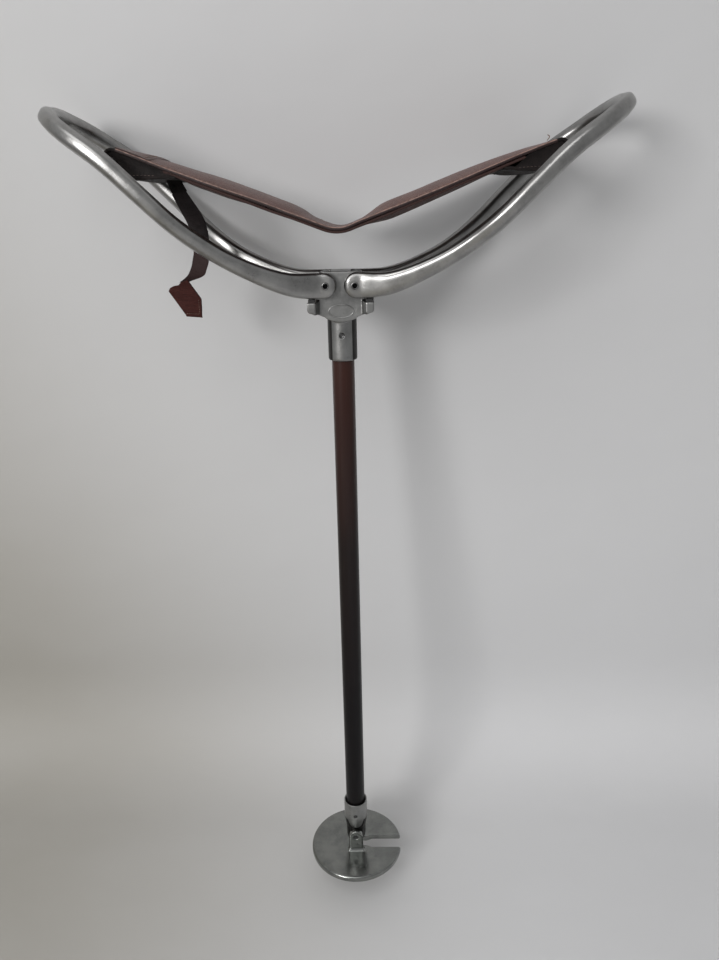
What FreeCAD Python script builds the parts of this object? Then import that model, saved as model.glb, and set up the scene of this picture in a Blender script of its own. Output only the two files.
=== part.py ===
import FreeCAD, Part
import math
import os

# Walking stick seat: a round shaft, a head casting with two hinged handle loops that carry
# a leather sling seat, and a hinged, slotted ground plate over a fixed ground spike.
# Millimetres, +Z up, +X to the side on which the ground plate's slot opens. The origin is
# the tip of the spike, and the shaft's axis is the Z axis.

# Ground spike
spike_below_plate = 34.0
spike_point_length = 14.0
spike_shank_diameter = 9.0
spike_neck_diameter = 10.0
spike_spigot_diameter = 7.0
spike_spigot_depth = 5.5
spike_tip_diameter = 2.0

# Ground plate
plate_diameter = 95.4
plate_thickness = 6.0
plate_top_round = 2.4
plate_bottom_round = 1.2
slot_width = 16.0
slot_shoulder_x = 16.0
slot_shoulder_round = 3.2
throat_clearance = 0.6
ear_width = 14.6
ear_thickness = 4.6
ear_foot_flare = 2.4
plate_pin_height = 17.0
plate_pin_diameter = 5.0

# Ferrule and its tang
ferrule_diameter = 23.7
ferrule_height = 58.0
ferrule_socket_floor = 38.0
ferrule_taper_top = 36.0
ferrule_taper_bottom = 26.5
ferrule_foot_diameter = 20.5
ferrule_mouth_chamfer = 1.1
tang_thickness = 15.4
tang_edge_round = 1.2
tang_side_step = 0.4
ear_side_clearance = 0.15
ferrule_rivet_height = 44.1
rivet_diameter = 4.2

# Shaft
shaft_diameter = 19.0
shaft_wall = 1.6
socket_clearance = 0.05

# Head casting, heights counted from the two handle pivots
pivot_above_plate = 584.2
pivot_offset = 11.6
head_half_depth = 13.0
head_top = 10.5
head_top_flat_half_width = 6.5
cheek_radius = 10.5
cheek_half_length = 20.1
cheek_bottom = -21.5
cheek_thickness = 4.2
shoulder_half_width = 12.0
shoulder_height = -26.6
shoulder_hollow = 0.8
lip_bottom = -29.3
pocket_near_x = 8.2
pocket_far_x = 17.4
pocket_floor = -11.0
collar_diameter = 24.1
collar_bottom = -61.7
collar_edge_round = 1.6
collar_socket_top = -32.0
collar_rivet_height = -40.3
stop_bar_near_x = 19.8
stop_bar_far_x = 26.6
stop_bar_top = -12.9
stop_bar_bottom = -21.2
stop_bar_half_depth = 22.0
stop_bar_round = 2.6
stop_buffer_length = 5.0
stop_buffer_depth = 7.6
stop_buffer_height = 2.6
oval_height = -20.5
oval_half_width = 10.1
oval_half_height = 5.6
oval_rim_width = 0.9
oval_rim_height = 0.5

# Handle pivots
pivot_pin_diameter = 6.0
pivot_pin_recess_diameter = 3.8
pivot_pin_recess_depth = 2.5
washer_thickness = 0.4
washer_diameter = 15.0
running_clearance = 0.05
side_clearance = 0.1

# Handle loops: reach is the distance from the pivot along X, rise the height over the pivot,
# spread half the distance between the two rails' middles. Each pair is (reach, value).
rail_end_width = 9.0
rail_end_height = 20.0
rail_end_reach = -8.5
rail_end_centre = 1.5
loop_rise = [(-9, 0), (12, 0.2), (30, 2.6), (55, 12.4), (80, 26.0), (105, 45.1), (130, 69.6), (155, 93.3),
             (180, 111.2), (201.3, 126.4)]
loop_spread = [(-9, 18.1), (5, 18.1), (12, 20.3), (20, 23.2), (40, 28.5), (70, 35.3), (90, 40.5), (105, 47.4),
               (120, 52.2), (135, 53.9), (147, 54.2)]
loop_bow_start = 147.0
loop_reach = 201.3
loop_bow_fullness = 2.45
rail_height = [(rail_end_centre, rail_end_height), (14, 19.4), (30, 17.2), (50, 14.6), (80, 12.7), (202, 12.4)]
rail_width = [(rail_end_centre, rail_end_width), (14, 9.4), (30, 10.6), (55, 11.8), (85, 12.4), (202, 12.4)]
rail_fullness = 2.6
fold_angle = 56.5

# Cross rod of each loop
rod_reach = 150.4
rod_above_rail = 1.89
rod_diameter = 8.0
rod_spigot_diameter = 5.0
rod_seat_depth = 2.0
rod_spigot_depth = 6.5

# Seat: each half is a panel that folds up about its inner edge. Along is the distance from
# that edge over the panel's slope, and heights are counted from the panel's top edge line.
seat_half_depth = 42.0
rod_below_seat = 10.22
seat_hinge_x = 6.3
seat_hinge_height = 44.8
seat_gap = 0.3
seat_strip_dip = 0.6
leather_thickness = 2.4
seat_lining_thickness = 2.0
padding_edge = 3.0
padding_gap = 0.05

# The panel's crown and belly as (along, height) pairs. The inner ones count from the hinge, and
# the outer ones, with a minus sign, back from the cross rod.
seat_crown_inner = [(0.3, 0.1), (12, 0.6), (22, 2.2), (30, 4.6), (38, 5.4), (62, 5.4)]
seat_crown_outer = [(-76, 5.0), (-56, 4.0), (-44, 3.2), (-30, 1.4), (-16, 0.1)]
seat_belly_inner = [(12, 0.1), (22, 1.4), (30, 3.4), (38, 4.4), (62, 4.0)]
seat_belly_outer = [(-76, 2.6), (-56, 1.2), (-44, 0.3)]

# The wrap's lower inside as (along, height) pairs from the open seat's cross rod
wrap_inside_from_rod = [(-30.2, 6.0), (-14.2, -0.8), (-9.7, -4.0), (-3.7, -7.0), (0.5, -7.0)]
wrap_end_clearance = 0.35
wrap_inside_radius = 3.8
wrap_seam_from_rod = -42.2

# Closing strap, which hangs from the left panel by a rivet: its outline counts from the rivet
strap_from_rod = 35.4
strap_below_seat = 13.46
strap_y = -6.0
strap_thickness = 2.2
strap_head_radius = 5.0
strap_left_edge = [(-3.8, -2.7), (8, -27), (10.8, -49.6), (9, -61.6), (4.4, -67.9), (-0.4, -71.2)]
strap_tab = [(-2.6, -75), (-7.8, -75.4), (-11, -79.2), (0.8, -98.3), (11.2, -100.2), (13.8, -97.4),
             (14.8, -86.2)]
strap_right_edge = [(5.4, -71.8), (13.6, -69.4), (19, -66), (22.8, -57.6), (24.2, -39.6), (18.2, -19.6),
                    (4.2, 2)]
hanger_width = 12.4
hanger_ply = 1.5
hanger_below_pivot = 4.8
strap_rivet_diameter = 3.0


def through(table, at):
    """A smooth value through (place, value) pairs: a cubic whose slope at each inner pair is that
    of the line between its neighbours, and at most three times the flatter of the two beside it."""
    places = [p for p, value in table]
    values = [value for p, value in table]
    at = min(max(at, places[0]), places[-1])
    last = len(places) - 1
    i = max(k for k in range(last) if places[k] <= at)
    rates = [(values[k + 1] - values[k]) / (places[k + 1] - places[k]) for k in range(last)]
    slopes = []
    for k in (i, i + 1):
        low = max(k - 1, 0)
        high = min(k + 1, last)
        mean = (values[high] - values[low]) / (places[high] - places[low])
        flatter = min(abs(rate) for rate in rates[low:high])
        slopes.append(math.copysign(min(abs(mean), 3 * flatter), mean))
    span = places[i + 1] - places[i]
    s = (at - places[i]) / span
    start = (2 * s ** 3 - 3 * s ** 2 + 1) * values[i] + (s ** 3 - 2 * s ** 2 + s) * span * slopes[0]
    end = (3 * s ** 2 - 2 * s ** 3) * values[i + 1] + (s ** 3 - s ** 2) * span * slopes[1]
    return start + end


# Heights that follow
plate_bottom = spike_below_plate
plate_top = plate_bottom + plate_thickness
plate_pin_z = plate_top + plate_pin_height
ferrule_top = plate_top + ferrule_height
pivot_z = plate_top + pivot_above_plate
seat_hinge_z = pivot_z + seat_hinge_height
ear_inner_y = tang_thickness / 2 + ear_side_clearance
ear_outer_y = ear_inner_y + ear_thickness
rail_middle_y = loop_spread[0][1]

# The open seat's cross rod, and the slope that brings the panel's top edge line over it
rod_rise = through(loop_rise, rod_reach) + rod_above_rail
rod_from_hinge_x = pivot_offset + rod_reach - seat_hinge_x
rod_from_hinge_z = rod_rise - seat_hinge_height
rod_from_hinge = math.hypot(rod_from_hinge_x, rod_from_hinge_z)
seat_slope = math.degrees(math.atan2(rod_from_hinge_z, rod_from_hinge_x) + math.asin(rod_below_seat / rod_from_hinge))
rod_along = math.sqrt(rod_from_hinge ** 2 - rod_below_seat ** 2)
rod_height = -rod_below_seat
wrap_inside_end = rod_along + rod_diameter / 2 + wrap_end_clearance
wrap_inside = [(rod_along + a, rod_height + h) for a, h in wrap_inside_from_rod]
wrap_seam_start = rod_along + wrap_seam_from_rod
seat_crown = seat_crown_inner + [(rod_along + a, h) for a, h in seat_crown_outer]
seat_belly = seat_belly_inner + [(rod_along + a, h) for a, h in seat_belly_outer]
seat_top_end = seat_crown[-1][0]
padding_half_depth = seat_half_depth - padding_edge

# The strap's rivet, under the left panel
strap_pivot_x = strap_from_rod - pivot_offset - rod_reach
strap_pivot_height = (seat_hinge_height - (strap_pivot_x + seat_hinge_x) * math.tan(math.radians(seat_slope))
                      - strap_below_seat)

vec = FreeCAD.Vector
axis_x = vec(1, 0, 0)
axis_y = vec(0, 1, 0)
axis_z = vec(0, 0, 1)


def box(low, high):
    """A box between two corners."""
    size = [b - a for a, b in zip(low, high)]
    return Part.makeBox(*size, vec(*low))


def rod_along_y(radius, x, z, y_low, y_high):
    """A round bar along Y."""
    return Part.makeCylinder(radius, y_high - y_low, vec(x, y_low, z), axis_y)


def rod_along_z(radius, z_low, z_high):
    """A round bar on the shaft's axis."""
    return Part.makeCylinder(radius, z_high - z_low, vec(0, 0, z_low), axis_z)


def turned(profile):
    """A solid of revolution about the shaft's axis from (radius, height) points."""
    points = [vec(r, 0, z) for r, z in profile]
    face = Part.Face(Part.makePolygon(points + points[:1]))
    return face.revolve(vec(0, 0, 0), axis_z, 360)


def slab(edges, y_low, y_high):
    """A flat plate: a closed outline in the XZ plane, thick along Y."""
    face = Part.Face(Part.Wire(edges))
    face.translate(vec(0, y_low, 0))
    return face.extrude(vec(0, y_high - y_low, 0))


def in_xz(x, z):
    """A point of an outline in the XZ plane."""
    return vec(x, 0, z)


def line(a, b):
    """A straight edge between two (x, z) points."""
    return Part.makeLine(in_xz(*a), in_xz(*b))


def arc(a, middle, b):
    """An arc through three (x, z) points."""
    return Part.Arc(in_xz(*a), in_xz(*middle), in_xz(*b)).toShape()


def other_side(shape):
    """The same piece on the other side of the shaft."""
    return shape.mirror(vec(0, 0, 0), axis_x)


def edges_where(shape, rule):
    """The edges whose centre and direction pass a rule."""
    picked = []
    for edge in shape.Edges:
        box_of = edge.BoundBox
        if rule(edge.CenterOfMass, box_of):
            picked.append(edge)
    return picked


# Shaft and ferrule

def make_shaft():
    low = plate_top + ferrule_socket_floor
    high = pivot_z + collar_socket_top
    shaft = rod_along_z(shaft_diameter / 2, low, high)
    shaft = shaft.cut(rod_along_z(shaft_diameter / 2 - shaft_wall, low, high))
    for height in (pivot_z + collar_rivet_height, plate_top + ferrule_rivet_height):
        shaft = shaft.cut(rivet_hole(height))
    return shaft


def rivet_hole(height):
    return rod_along_y(rivet_diameter / 2, 0, height, -ferrule_diameter, ferrule_diameter)


def make_rivet(height, outer_radius):
    """A cross rivet whose two heads are domed and stand a little proud."""
    reach = outer_radius + 0.35
    dome = rivet_diameter
    ball_offset = reach - dome
    body = rod_along_y(rivet_diameter / 2, 0, height, -reach, reach)
    balls = Part.makeSphere(dome, vec(0, ball_offset, height)).common(body)
    middle = rod_along_y(rivet_diameter / 2, 0, height, -ball_offset, ball_offset)
    heads = balls.fuse(balls.mirror(vec(0, 0, 0), axis_y))
    return middle.fuse(heads).removeSplitter()


def rounded_rectangle(z, half_x, half_y, corner):
    """A closed rectangle with round corners in a level plane, as lines and arcs."""
    edges = []
    flat_x = half_x - corner
    flat_y = half_y - corner
    diagonal = corner * math.sqrt(0.5)
    corners = [(1, 1), (-1, 1), (-1, -1), (1, -1)]
    for i, (sx, sy) in enumerate(corners):
        across = vec(sx * half_x, sy * flat_y, z)
        along = vec(sx * flat_x, sy * half_y, z)
        start, end = (across, along) if i % 2 == 0 else (along, across)
        middle = vec(sx * (flat_x + diagonal), sy * (flat_y + diagonal), z)
        edges.append((start, middle, end))
    wire = []
    for i, (start, middle, end) in enumerate(edges):
        wire.append(Part.Arc(start, middle, end).toShape())
        wire.append(Part.makeLine(end, edges[(i + 1) % 4][0]))
    return Part.Wire(wire)


def make_ferrule():
    """The socket for the shaft, a round taper, and a tang cut flat on two sides, with a round end
    about the plate's pin."""
    radius = ferrule_diameter / 2
    half = ferrule_foot_diameter / 2
    taper_top = plate_top + ferrule_taper_top
    taper_bottom = plate_top + ferrule_taper_bottom
    socket = rod_along_z(radius, taper_top, ferrule_top)
    taper = Part.makeCone(half, radius, taper_top - taper_bottom, vec(0, 0, taper_bottom), axis_z)
    foot_rim = edges_where(taper, lambda c, b: b.ZMax < taper_bottom + 0.01)
    taper = taper.makeFillet(tang_edge_round, foot_rim)
    outline = [line((-half, taper_bottom + tang_edge_round), (-half, plate_pin_z)),
               arc((-half, plate_pin_z), (0, plate_pin_z - half), (half, plate_pin_z)),
               line((half, plate_pin_z), (half, taper_bottom + tang_edge_round)),
               line((half, taper_bottom + tang_edge_round), (-half, taper_bottom + tang_edge_round))]
    tang = slab(outline, -tang_thickness / 2, tang_thickness / 2)
    tang = tang.common(rod_along_z(half - tang_side_step, plate_top, taper_top))
    ferrule = socket.fuse([taper, tang])
    bore = shaft_diameter / 2 + socket_clearance
    ferrule = ferrule.cut(rod_along_z(bore, plate_top + ferrule_socket_floor, ferrule_top))
    mouth = Part.makeCone(bore, bore + ferrule_mouth_chamfer, 2 * ferrule_mouth_chamfer,
                          vec(0, 0, ferrule_top - 2 * ferrule_mouth_chamfer), axis_z)
    ferrule = ferrule.cut(mouth)
    ferrule = ferrule.cut(rivet_hole(plate_top + ferrule_rivet_height))
    pin_hole = plate_pin_diameter / 2 + running_clearance
    ferrule = ferrule.cut(rod_along_y(pin_hole, 0, plate_pin_z, -tang_thickness, tang_thickness))
    return ferrule.cut(make_spike()).removeSplitter()


def make_spike():
    """The ground spike: point, shank, a neck that fills the plate's throat, and a spigot in the tang."""
    shank = spike_shank_diameter / 2
    neck = spike_neck_diameter / 2
    spigot = spike_spigot_diameter / 2
    tang_bottom = plate_pin_z - ferrule_foot_diameter / 2
    neck_top = tang_bottom + 1.2
    return turned([(0, 0), (spike_tip_diameter / 2, 0), (shank, spike_point_length),
                   (shank, plate_bottom - 1), (neck, plate_bottom), (neck, neck_top),
                   (spigot, neck_top), (spigot, tang_bottom + spike_spigot_depth),
                   (0, tang_bottom + spike_spigot_depth)])


# Ground plate

def slot_outline():
    """The slot from above: a narrow throat round the spike that opens by round shoulders to the
    full width and runs out of the plate's edge."""
    throat = spike_neck_diameter / 2 + throat_clearance
    half = slot_width / 2
    round_off = slot_shoulder_round
    lean = round_off * math.sqrt(0.5)
    narrow_end = slot_shoulder_x - 2 * round_off
    step = half - throat
    out = plate_diameter
    upper = [vec(0, throat, 0), vec(narrow_end, throat, 0), vec(slot_shoulder_x, half, 0), vec(out, half, 0)]
    lower = [vec(p.x, -p.y, 0) for p in reversed(upper)]
    bulge = vec(narrow_end + lean, throat + 0.28 * step, 0)
    bulge_low = vec(bulge.x, -bulge.y, 0)
    return [Part.makeLine(upper[0], upper[1]), Part.Arc(upper[1], bulge, upper[2]).toShape(),
            Part.makeLine(upper[2], upper[3]), Part.makeLine(upper[3], lower[0]),
            Part.makeLine(lower[0], lower[1]), Part.Arc(lower[1], bulge_low, lower[2]).toShape(),
            Part.makeLine(lower[2], lower[3]),
            Part.Arc(lower[3], vec(-throat, 0, 0), upper[0]).toShape()]


def make_ear(side):
    """One of the plate's two ears: a plate with a round top about the pin and a foot that flares."""
    half = ear_width / 2
    foot_z = plate_top - 0.5
    outline = [line((-half, foot_z), (-half, plate_pin_z)),
               arc((-half, plate_pin_z), (0, plate_pin_z + half), (half, plate_pin_z)),
               line((half, plate_pin_z), (half, foot_z)),
               line((half, foot_z), (-half, foot_z))]
    ear = slab(outline, ear_inner_y, ear_outer_y)
    face_edges = edges_where(ear, lambda c, b: abs(c.y - ear_outer_y) < 0.01 and c.z > plate_top + 1)
    ear = ear.makeFillet(1.2, face_edges)
    flare = ear_foot_flare
    low = rounded_rectangle(foot_z, half + flare, ear_thickness / 2 + flare / 2, 1.4)
    high = rounded_rectangle(plate_top + flare, half, ear_thickness / 2, 1.2)
    low.translate(vec(0, (ear_inner_y + ear_outer_y) / 2 + flare / 2, 0))
    high.translate(vec(0, (ear_inner_y + ear_outer_y) / 2, 0))
    foot = Part.makeLoft([low, high], True, True)
    ear = ear.fuse(foot)
    return ear if side > 0 else ear.mirror(vec(0, 0, 0), axis_y)


def make_ground_plate():
    plate = rod_along_z(plate_diameter / 2, plate_bottom, plate_top)
    slot = Part.Face(Part.Wire(slot_outline()))
    slot.translate(vec(0, 0, plate_bottom - 1))
    plate = plate.cut(slot.extrude(vec(0, 0, plate_thickness + 2)))
    top_rim = edges_where(plate, lambda c, b: b.ZMin > plate_top - 0.01 and b.XLength > plate_diameter / 2)
    rim = [edge for edge in top_rim if edge.BoundBox.YLength > slot_width]
    plate = plate.makeFillet(plate_top_round, rim)
    bottom = edges_where(plate, lambda c, b: b.ZMax < plate_bottom + 0.01 and b.YLength > plate_diameter / 2)
    plate = plate.makeFillet(plate_bottom_round, bottom)
    plate = plate.fuse([make_ear(1), make_ear(-1)])
    hole = rod_along_y(plate_pin_diameter / 2, 0, plate_pin_z, -plate_diameter, plate_diameter)
    return plate.cut(hole).removeSplitter()


def make_plate_pin():
    reach = ear_outer_y
    radius = plate_pin_diameter / 2
    pin = rod_along_y(radius, 0, plate_pin_z, -reach, reach)
    for side in (-1, 1):
        dimple = Part.makeCone(radius * 0.62, radius * 0.2, 1.2, vec(0, side * reach, plate_pin_z),
                               vec(0, -side, 0))
        pin = pin.cut(dimple)
    return pin


# Head casting and pivots

def make_head():
    """The casting: a block with two cheeks, a pocket inside each, a stop bar across each end and
    a collar that holds the shaft."""
    top = head_top
    flat = head_top_flat_half_width
    far = cheek_half_length
    corner_z = math.sqrt(cheek_radius ** 2 - (far - pivot_offset) ** 2)
    half_turn = math.radians(70)
    arc_mid = (pivot_offset + cheek_radius * math.cos(half_turn), cheek_radius * math.sin(half_turn))
    shoulder_middle = ((far + shoulder_half_width + shoulder_hollow) / 2,
                       (cheek_bottom + shoulder_height) / 2 + shoulder_hollow)
    right = [(flat, top), (pivot_offset, top), arc_mid, (far, corner_z), (far, cheek_bottom),
             shoulder_middle, (shoulder_half_width, shoulder_height)]
    left = [(-x, z) for x, z in right]
    outline = [line(left[0], right[0]), line(right[0], right[1]), arc(right[1], right[2], right[3]),
               line(right[3], right[4]), arc(right[4], right[5], right[6]),
               arc(right[6], (0, lip_bottom), left[6]), arc(left[6], left[5], left[4]),
               line(left[4], left[3]), arc(left[3], left[2], left[1]), line(left[1], left[0])]
    head = slab(outline, -head_half_depth, head_half_depth)
    depth = stop_bar_half_depth
    bar = box((stop_bar_near_x, -depth, stop_bar_bottom), (stop_bar_far_x, depth, stop_bar_top))
    outer_low = edges_where(bar, lambda c, b: c.x > stop_bar_far_x - 0.01 and b.YLength > depth)
    bar = bar.makeFillet(stop_bar_round, [e for e in outer_low if e.CenterOfMass.z < stop_bar_top - 1])
    link = box((stop_bar_near_x - 4, -head_half_depth, stop_bar_bottom),
               (stop_bar_near_x + 3, head_half_depth, stop_bar_top))
    collar = rod_along_z(collar_diameter / 2, collar_bottom, shoulder_height)
    rim = edges_where(collar, lambda c, b: b.ZMax < collar_bottom + 0.01)
    collar = collar.makeFillet(collar_edge_round, rim)
    head = head.fuse([bar, link, other_side(bar), other_side(link), collar])
    inner = head_half_depth - cheek_thickness
    pocket = box((pocket_near_x, -inner, pocket_floor), (pocket_far_x, inner, top + 1))
    head = head.cut([pocket, other_side(pocket)])
    head = head.fuse(oval_rim())
    head.translate(vec(0, 0, pivot_z))
    bore = shaft_diameter / 2 + socket_clearance
    head = head.cut(rod_along_z(bore, pivot_z + collar_bottom - 1, pivot_z + collar_socket_top))
    head = head.cut(rivet_hole(pivot_z + collar_rivet_height))
    for side in (-1, 1):
        pin = rod_along_y(pivot_pin_diameter / 2, side * pivot_offset, pivot_z, -depth, depth)
        head = head.cut(pin)
    return head.removeSplitter()


def oval_rim():
    """A plain raised oval on the front face, with nothing in it."""
    rims = []
    for inset in (0, oval_rim_width):
        ellipse = Part.Ellipse(vec(0, 0, 0), oval_half_width - inset, oval_half_height - inset)
        face = Part.Face(Part.Wire(ellipse.toShape()))
        face.rotate(vec(0, 0, 0), axis_x, 90)
        face.translate(vec(0, -head_half_depth + 0.2, oval_height))
        rims.append(face.extrude(vec(0, -oval_rim_height - 0.2, 0)))
    return rims[0].cut(rims[1])


def make_stop_buffers():
    """Four pads on the stop bars, one under each rail."""
    pads = []
    middle_x = (stop_bar_near_x + stop_bar_far_x) / 2
    for side_x in (-1, 1):
        for side_y in (-1, 1):
            low_x = side_x * middle_x - stop_buffer_length / 2
            middle_y = side_y * (stop_bar_half_depth - stop_buffer_depth / 2 - 0.4)
            low_y = middle_y - stop_buffer_depth / 2
            low_z = pivot_z + stop_bar_top
            pads.append(box((low_x, low_y, low_z),
                            (low_x + stop_buffer_length, low_y + stop_buffer_depth, low_z + stop_buffer_height)))
    return Part.makeCompound(pads)


def make_pivot_pin(side):
    """A pin through both cheeks and both rails, with a hollow end each side."""
    reach = rail_middle_y + rail_end_width / 2 - 0.1
    x = side * pivot_offset
    pin = rod_along_y(pivot_pin_diameter / 2, x, pivot_z, -reach, reach)
    for end in (-1, 1):
        start = vec(x, end * reach, pivot_z)
        pin = pin.cut(Part.makeCylinder(pivot_pin_recess_diameter / 2, pivot_pin_recess_depth, start,
                                        vec(0, -end, 0)))
    return pin


def make_washers():
    """A thin washer between each cheek and its rail."""
    rings = []
    hole = pivot_pin_diameter / 2 + 0.02
    for side_x in (-1, 1):
        for side_y in (-1, 1):
            ends = sorted((side_y * head_half_depth, side_y * (head_half_depth + washer_thickness)))
            ring = rod_along_y(washer_diameter / 2, side_x * pivot_offset, pivot_z, *ends)
            rings.append(ring.cut(rod_along_y(hole, side_x * pivot_offset, pivot_z, ends[0] - 1, ends[1] + 1)))
    return Part.makeCompound(rings)


# Handle loops

def loop_path():
    """The middle line of the right loop, from the rear rail's pivot end round the bow to the
    front rail's pivot end, counted from the pivot."""
    rear = []
    for reach in [rail_end_reach, -2.0, 6.0] + [float(r) for r in range(18, int(loop_bow_start) - 5, 12)]:
        rear.append(vec(reach, through(loop_spread, reach), through(loop_rise, reach)))
    bow_width = through(loop_spread, loop_bow_start)
    power = 2 / loop_bow_fullness
    for degrees in (4, 12, 24, 38, 52, 66, 79):
        turn = math.radians(degrees)
        reach = loop_bow_start + (loop_reach - loop_bow_start) * math.sin(turn) ** power
        rear.append(vec(reach, bow_width * math.cos(turn) ** power, through(loop_rise, reach)))
    tip = [vec(loop_reach, 0, through(loop_rise, loop_reach))]
    front = [vec(p.x, -p.y, p.z) for p in reversed(rear)]
    curve = Part.BSplineCurve()
    curve.interpolate(Points=rear + tip + front, InitialTangent=vec(10, 0, 0), FinalTangent=vec(-10, 0, 0))
    return curve


def rail_section(centre, along, reach):
    """An oval across the rail: the power of its two half widths is the rail's fullness. Near the
    pivot end it shrinks as a round end does."""
    step = 1.0
    slope = math.atan2(through(loop_rise, reach + step) - through(loop_rise, reach - step), 2 * step)
    up = vec(-math.sin(slope), 0, math.cos(slope))
    up = (up - along * up.dot(along)).normalize()
    across = along.cross(up)
    half_height = through(rail_height, reach) / 2
    half_width = through(rail_width, reach) / 2
    if reach < rail_end_centre:
        s = (rail_end_centre - reach) / (rail_end_centre - rail_end_reach + 0.1)
        half_height *= math.sqrt(1 - s ** 2)
        half_width *= (1 - s ** 6) ** 0.5
    points = []
    for i in range(16):
        turn = 2 * math.pi * i / 16 - math.pi / 4
        c = math.cos(turn)
        s = math.sin(turn)
        x = math.copysign(abs(c) ** (2 / rail_fullness), c) * half_width
        z = math.copysign(abs(s) ** (2 / rail_fullness), s) * half_height
        points.append(centre + across * x + up * z)
    curve = Part.BSplineCurve()
    curve.interpolate(Points=points, PeriodicFlag=True, Parameters=list(range(len(points) + 1)))
    curve.setNotPeriodic()
    return curve


def skin(sections, places):
    """A closed solid whose skin passes smoothly through the sections, given with their places
    along the middle line, and whose two ends are flat."""
    rows = []
    for poles in zip(*[curve.getPoles() for curve in sections]):
        row = Part.BSplineCurve()
        row.interpolate(Points=list(poles), Parameters=places)
        rows.append(row)
    around = sections[0]
    along = rows[0]
    surface = Part.BSplineSurface()
    surface.buildFromPolesMultsKnots([row.getPoles() for row in rows], around.getMultiplicities(),
                                     along.getMultiplicities(), around.getKnots(), along.getKnots(),
                                     False, False, around.Degree, along.Degree)
    quarter = around.LastParameter / 4
    thirds = [places[0] + (places[-1] - places[0]) * i / 3 for i in range(4)]
    faces = []
    for i in range(4):
        for low, high in zip(thirds, thirds[1:]):
            faces.append(surface.toShape(i * quarter, (i + 1) * quarter, low, high))
    for place in (places[0], places[-1]):
        rim = surface.vIso(place)
        edges = [rim.toShape(i * quarter, (i + 1) * quarter) for i in range(4)]
        faces.append(Part.Face(Part.Wire(edges)))
    shell = Part.makeShell(faces)
    shell.sewShape()
    solid = Part.makeSolid(Part.Shell(shell.Faces))
    return solid if solid.Volume > 0 else solid.reversed()


def make_loop():
    """The right handle loop, with its pin holes and the seats of its cross rod."""
    curve = loop_path()
    length = curve.length()
    end_steps = [0.05, 0.5, 1.4, 2.8, 4.6, 7.0, 10.0, 14.0]
    inner_count = 34
    first = end_steps[-1]
    inner = [first + (length - 2 * first) * i / inner_count for i in range(1, inner_count)]
    places = end_steps + inner + [length - p for p in reversed(end_steps)]
    sections = []
    for place in places:
        parameter = curve.parameterAtDistance(place)
        centre = curve.value(parameter)
        along = curve.tangent(parameter)[0]
        sections.append(rail_section(centre, along, centre.x))
    loop = skin(sections, places)
    loop.translate(vec(pivot_offset, 0, pivot_z))
    far = rail_middle_y + rail_end_width
    hole = rod_along_y(pivot_pin_diameter / 2 + running_clearance, pivot_offset, pivot_z, -far, far)
    loop = loop.cut(hole)
    return loop.cut(make_cross_rod())


def make_cross_rod():
    """The right loop's rod: a bar between the rails with a thinner spigot set into each."""
    spread = through(loop_spread, rod_reach)
    half_width = through(rail_width, rod_reach) / 2
    shoulder = spread - half_width + rod_seat_depth
    end = shoulder + rod_spigot_depth
    x = pivot_offset + rod_reach
    z = pivot_z + rod_rise
    bar = rod_along_y(rod_diameter / 2, x, z, -shoulder, shoulder)
    return bar.fuse(rod_along_y(rod_spigot_diameter / 2, x, z, -end, end)).removeSplitter()


# Seat

def on_panel(shape):
    """Puts a shape made along +X, from the panel's inner edge, on the right panel's slope."""
    shape = shape.copy()
    shape.rotate(vec(0, 0, 0), axis_y, -seat_slope)
    shape.translate(vec(seat_hinge_x, 0, seat_hinge_z))
    return shape


def bowed(along, half_depth, edge, middle, reverse=False):
    """An arc across the seat that bows from its edge height to its middle height."""
    ends = [vec(along, -half_depth, edge), vec(along, half_depth, edge)]
    if reverse:
        ends.reverse()
    return Part.Arc(ends[0], vec(along, 0, middle), ends[1]).toShape()


def layer(stations, half_depth, top, bottom):
    """A leather layer: ruled between sections with a bowed top and a bowed bottom, each given as
    a function from the place along to its edge height and middle height."""
    sections = []
    for along in stations:
        upper = bowed(along, half_depth, *top(along))
        lower = bowed(along, half_depth, *bottom(along), reverse=True)
        sides = [Part.makeLine(upper.lastVertex(True).Point, lower.firstVertex(True).Point),
                 Part.makeLine(lower.lastVertex(True).Point, upper.firstVertex(True).Point)]
        sections.append(Part.Wire([upper, sides[0], lower, sides[1]]))
    return Part.makeLoft(sections, True, True)


def bow_height(edge, middle, y):
    """The height of a bowed arc over the seat's full depth, at a distance y from its middle."""
    rise = middle - edge
    radius = (seat_half_depth ** 2 + rise ** 2) / (2 * abs(rise))
    drop = radius - math.sqrt(radius ** 2 - y ** 2)
    return middle - math.copysign(drop, rise)


def top_face(along):
    return 0.0, through(seat_crown, along)


def top_back(along):
    return -leather_thickness, through(seat_crown, along) - leather_thickness


def lining_face(along):
    return -leather_thickness, -leather_thickness - through(seat_belly, along)


def lining_back(along):
    edge, middle = lining_face(along)
    return edge - seat_lining_thickness, middle - seat_lining_thickness


def padding_top(along):
    edge, middle = top_back(along)
    return bow_height(edge, middle, padding_half_depth) - padding_gap, middle - padding_gap


def padding_bottom(along):
    edge, middle = lining_face(along)
    return bow_height(edge, middle, padding_half_depth) + padding_gap, middle + padding_gap


def offset_down(points, distance):
    """The points of a line moved square to it, to its lower side."""
    moved = []
    for i, (x, z) in enumerate(points):
        before = points[max(i - 1, 0)]
        after = points[min(i + 1, len(points) - 1)]
        run = after[0] - before[0]
        rise = after[1] - before[1]
        length = math.hypot(run, rise)
        moved.append((x + distance * rise / length, z - distance * run / length))
    return moved


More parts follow.
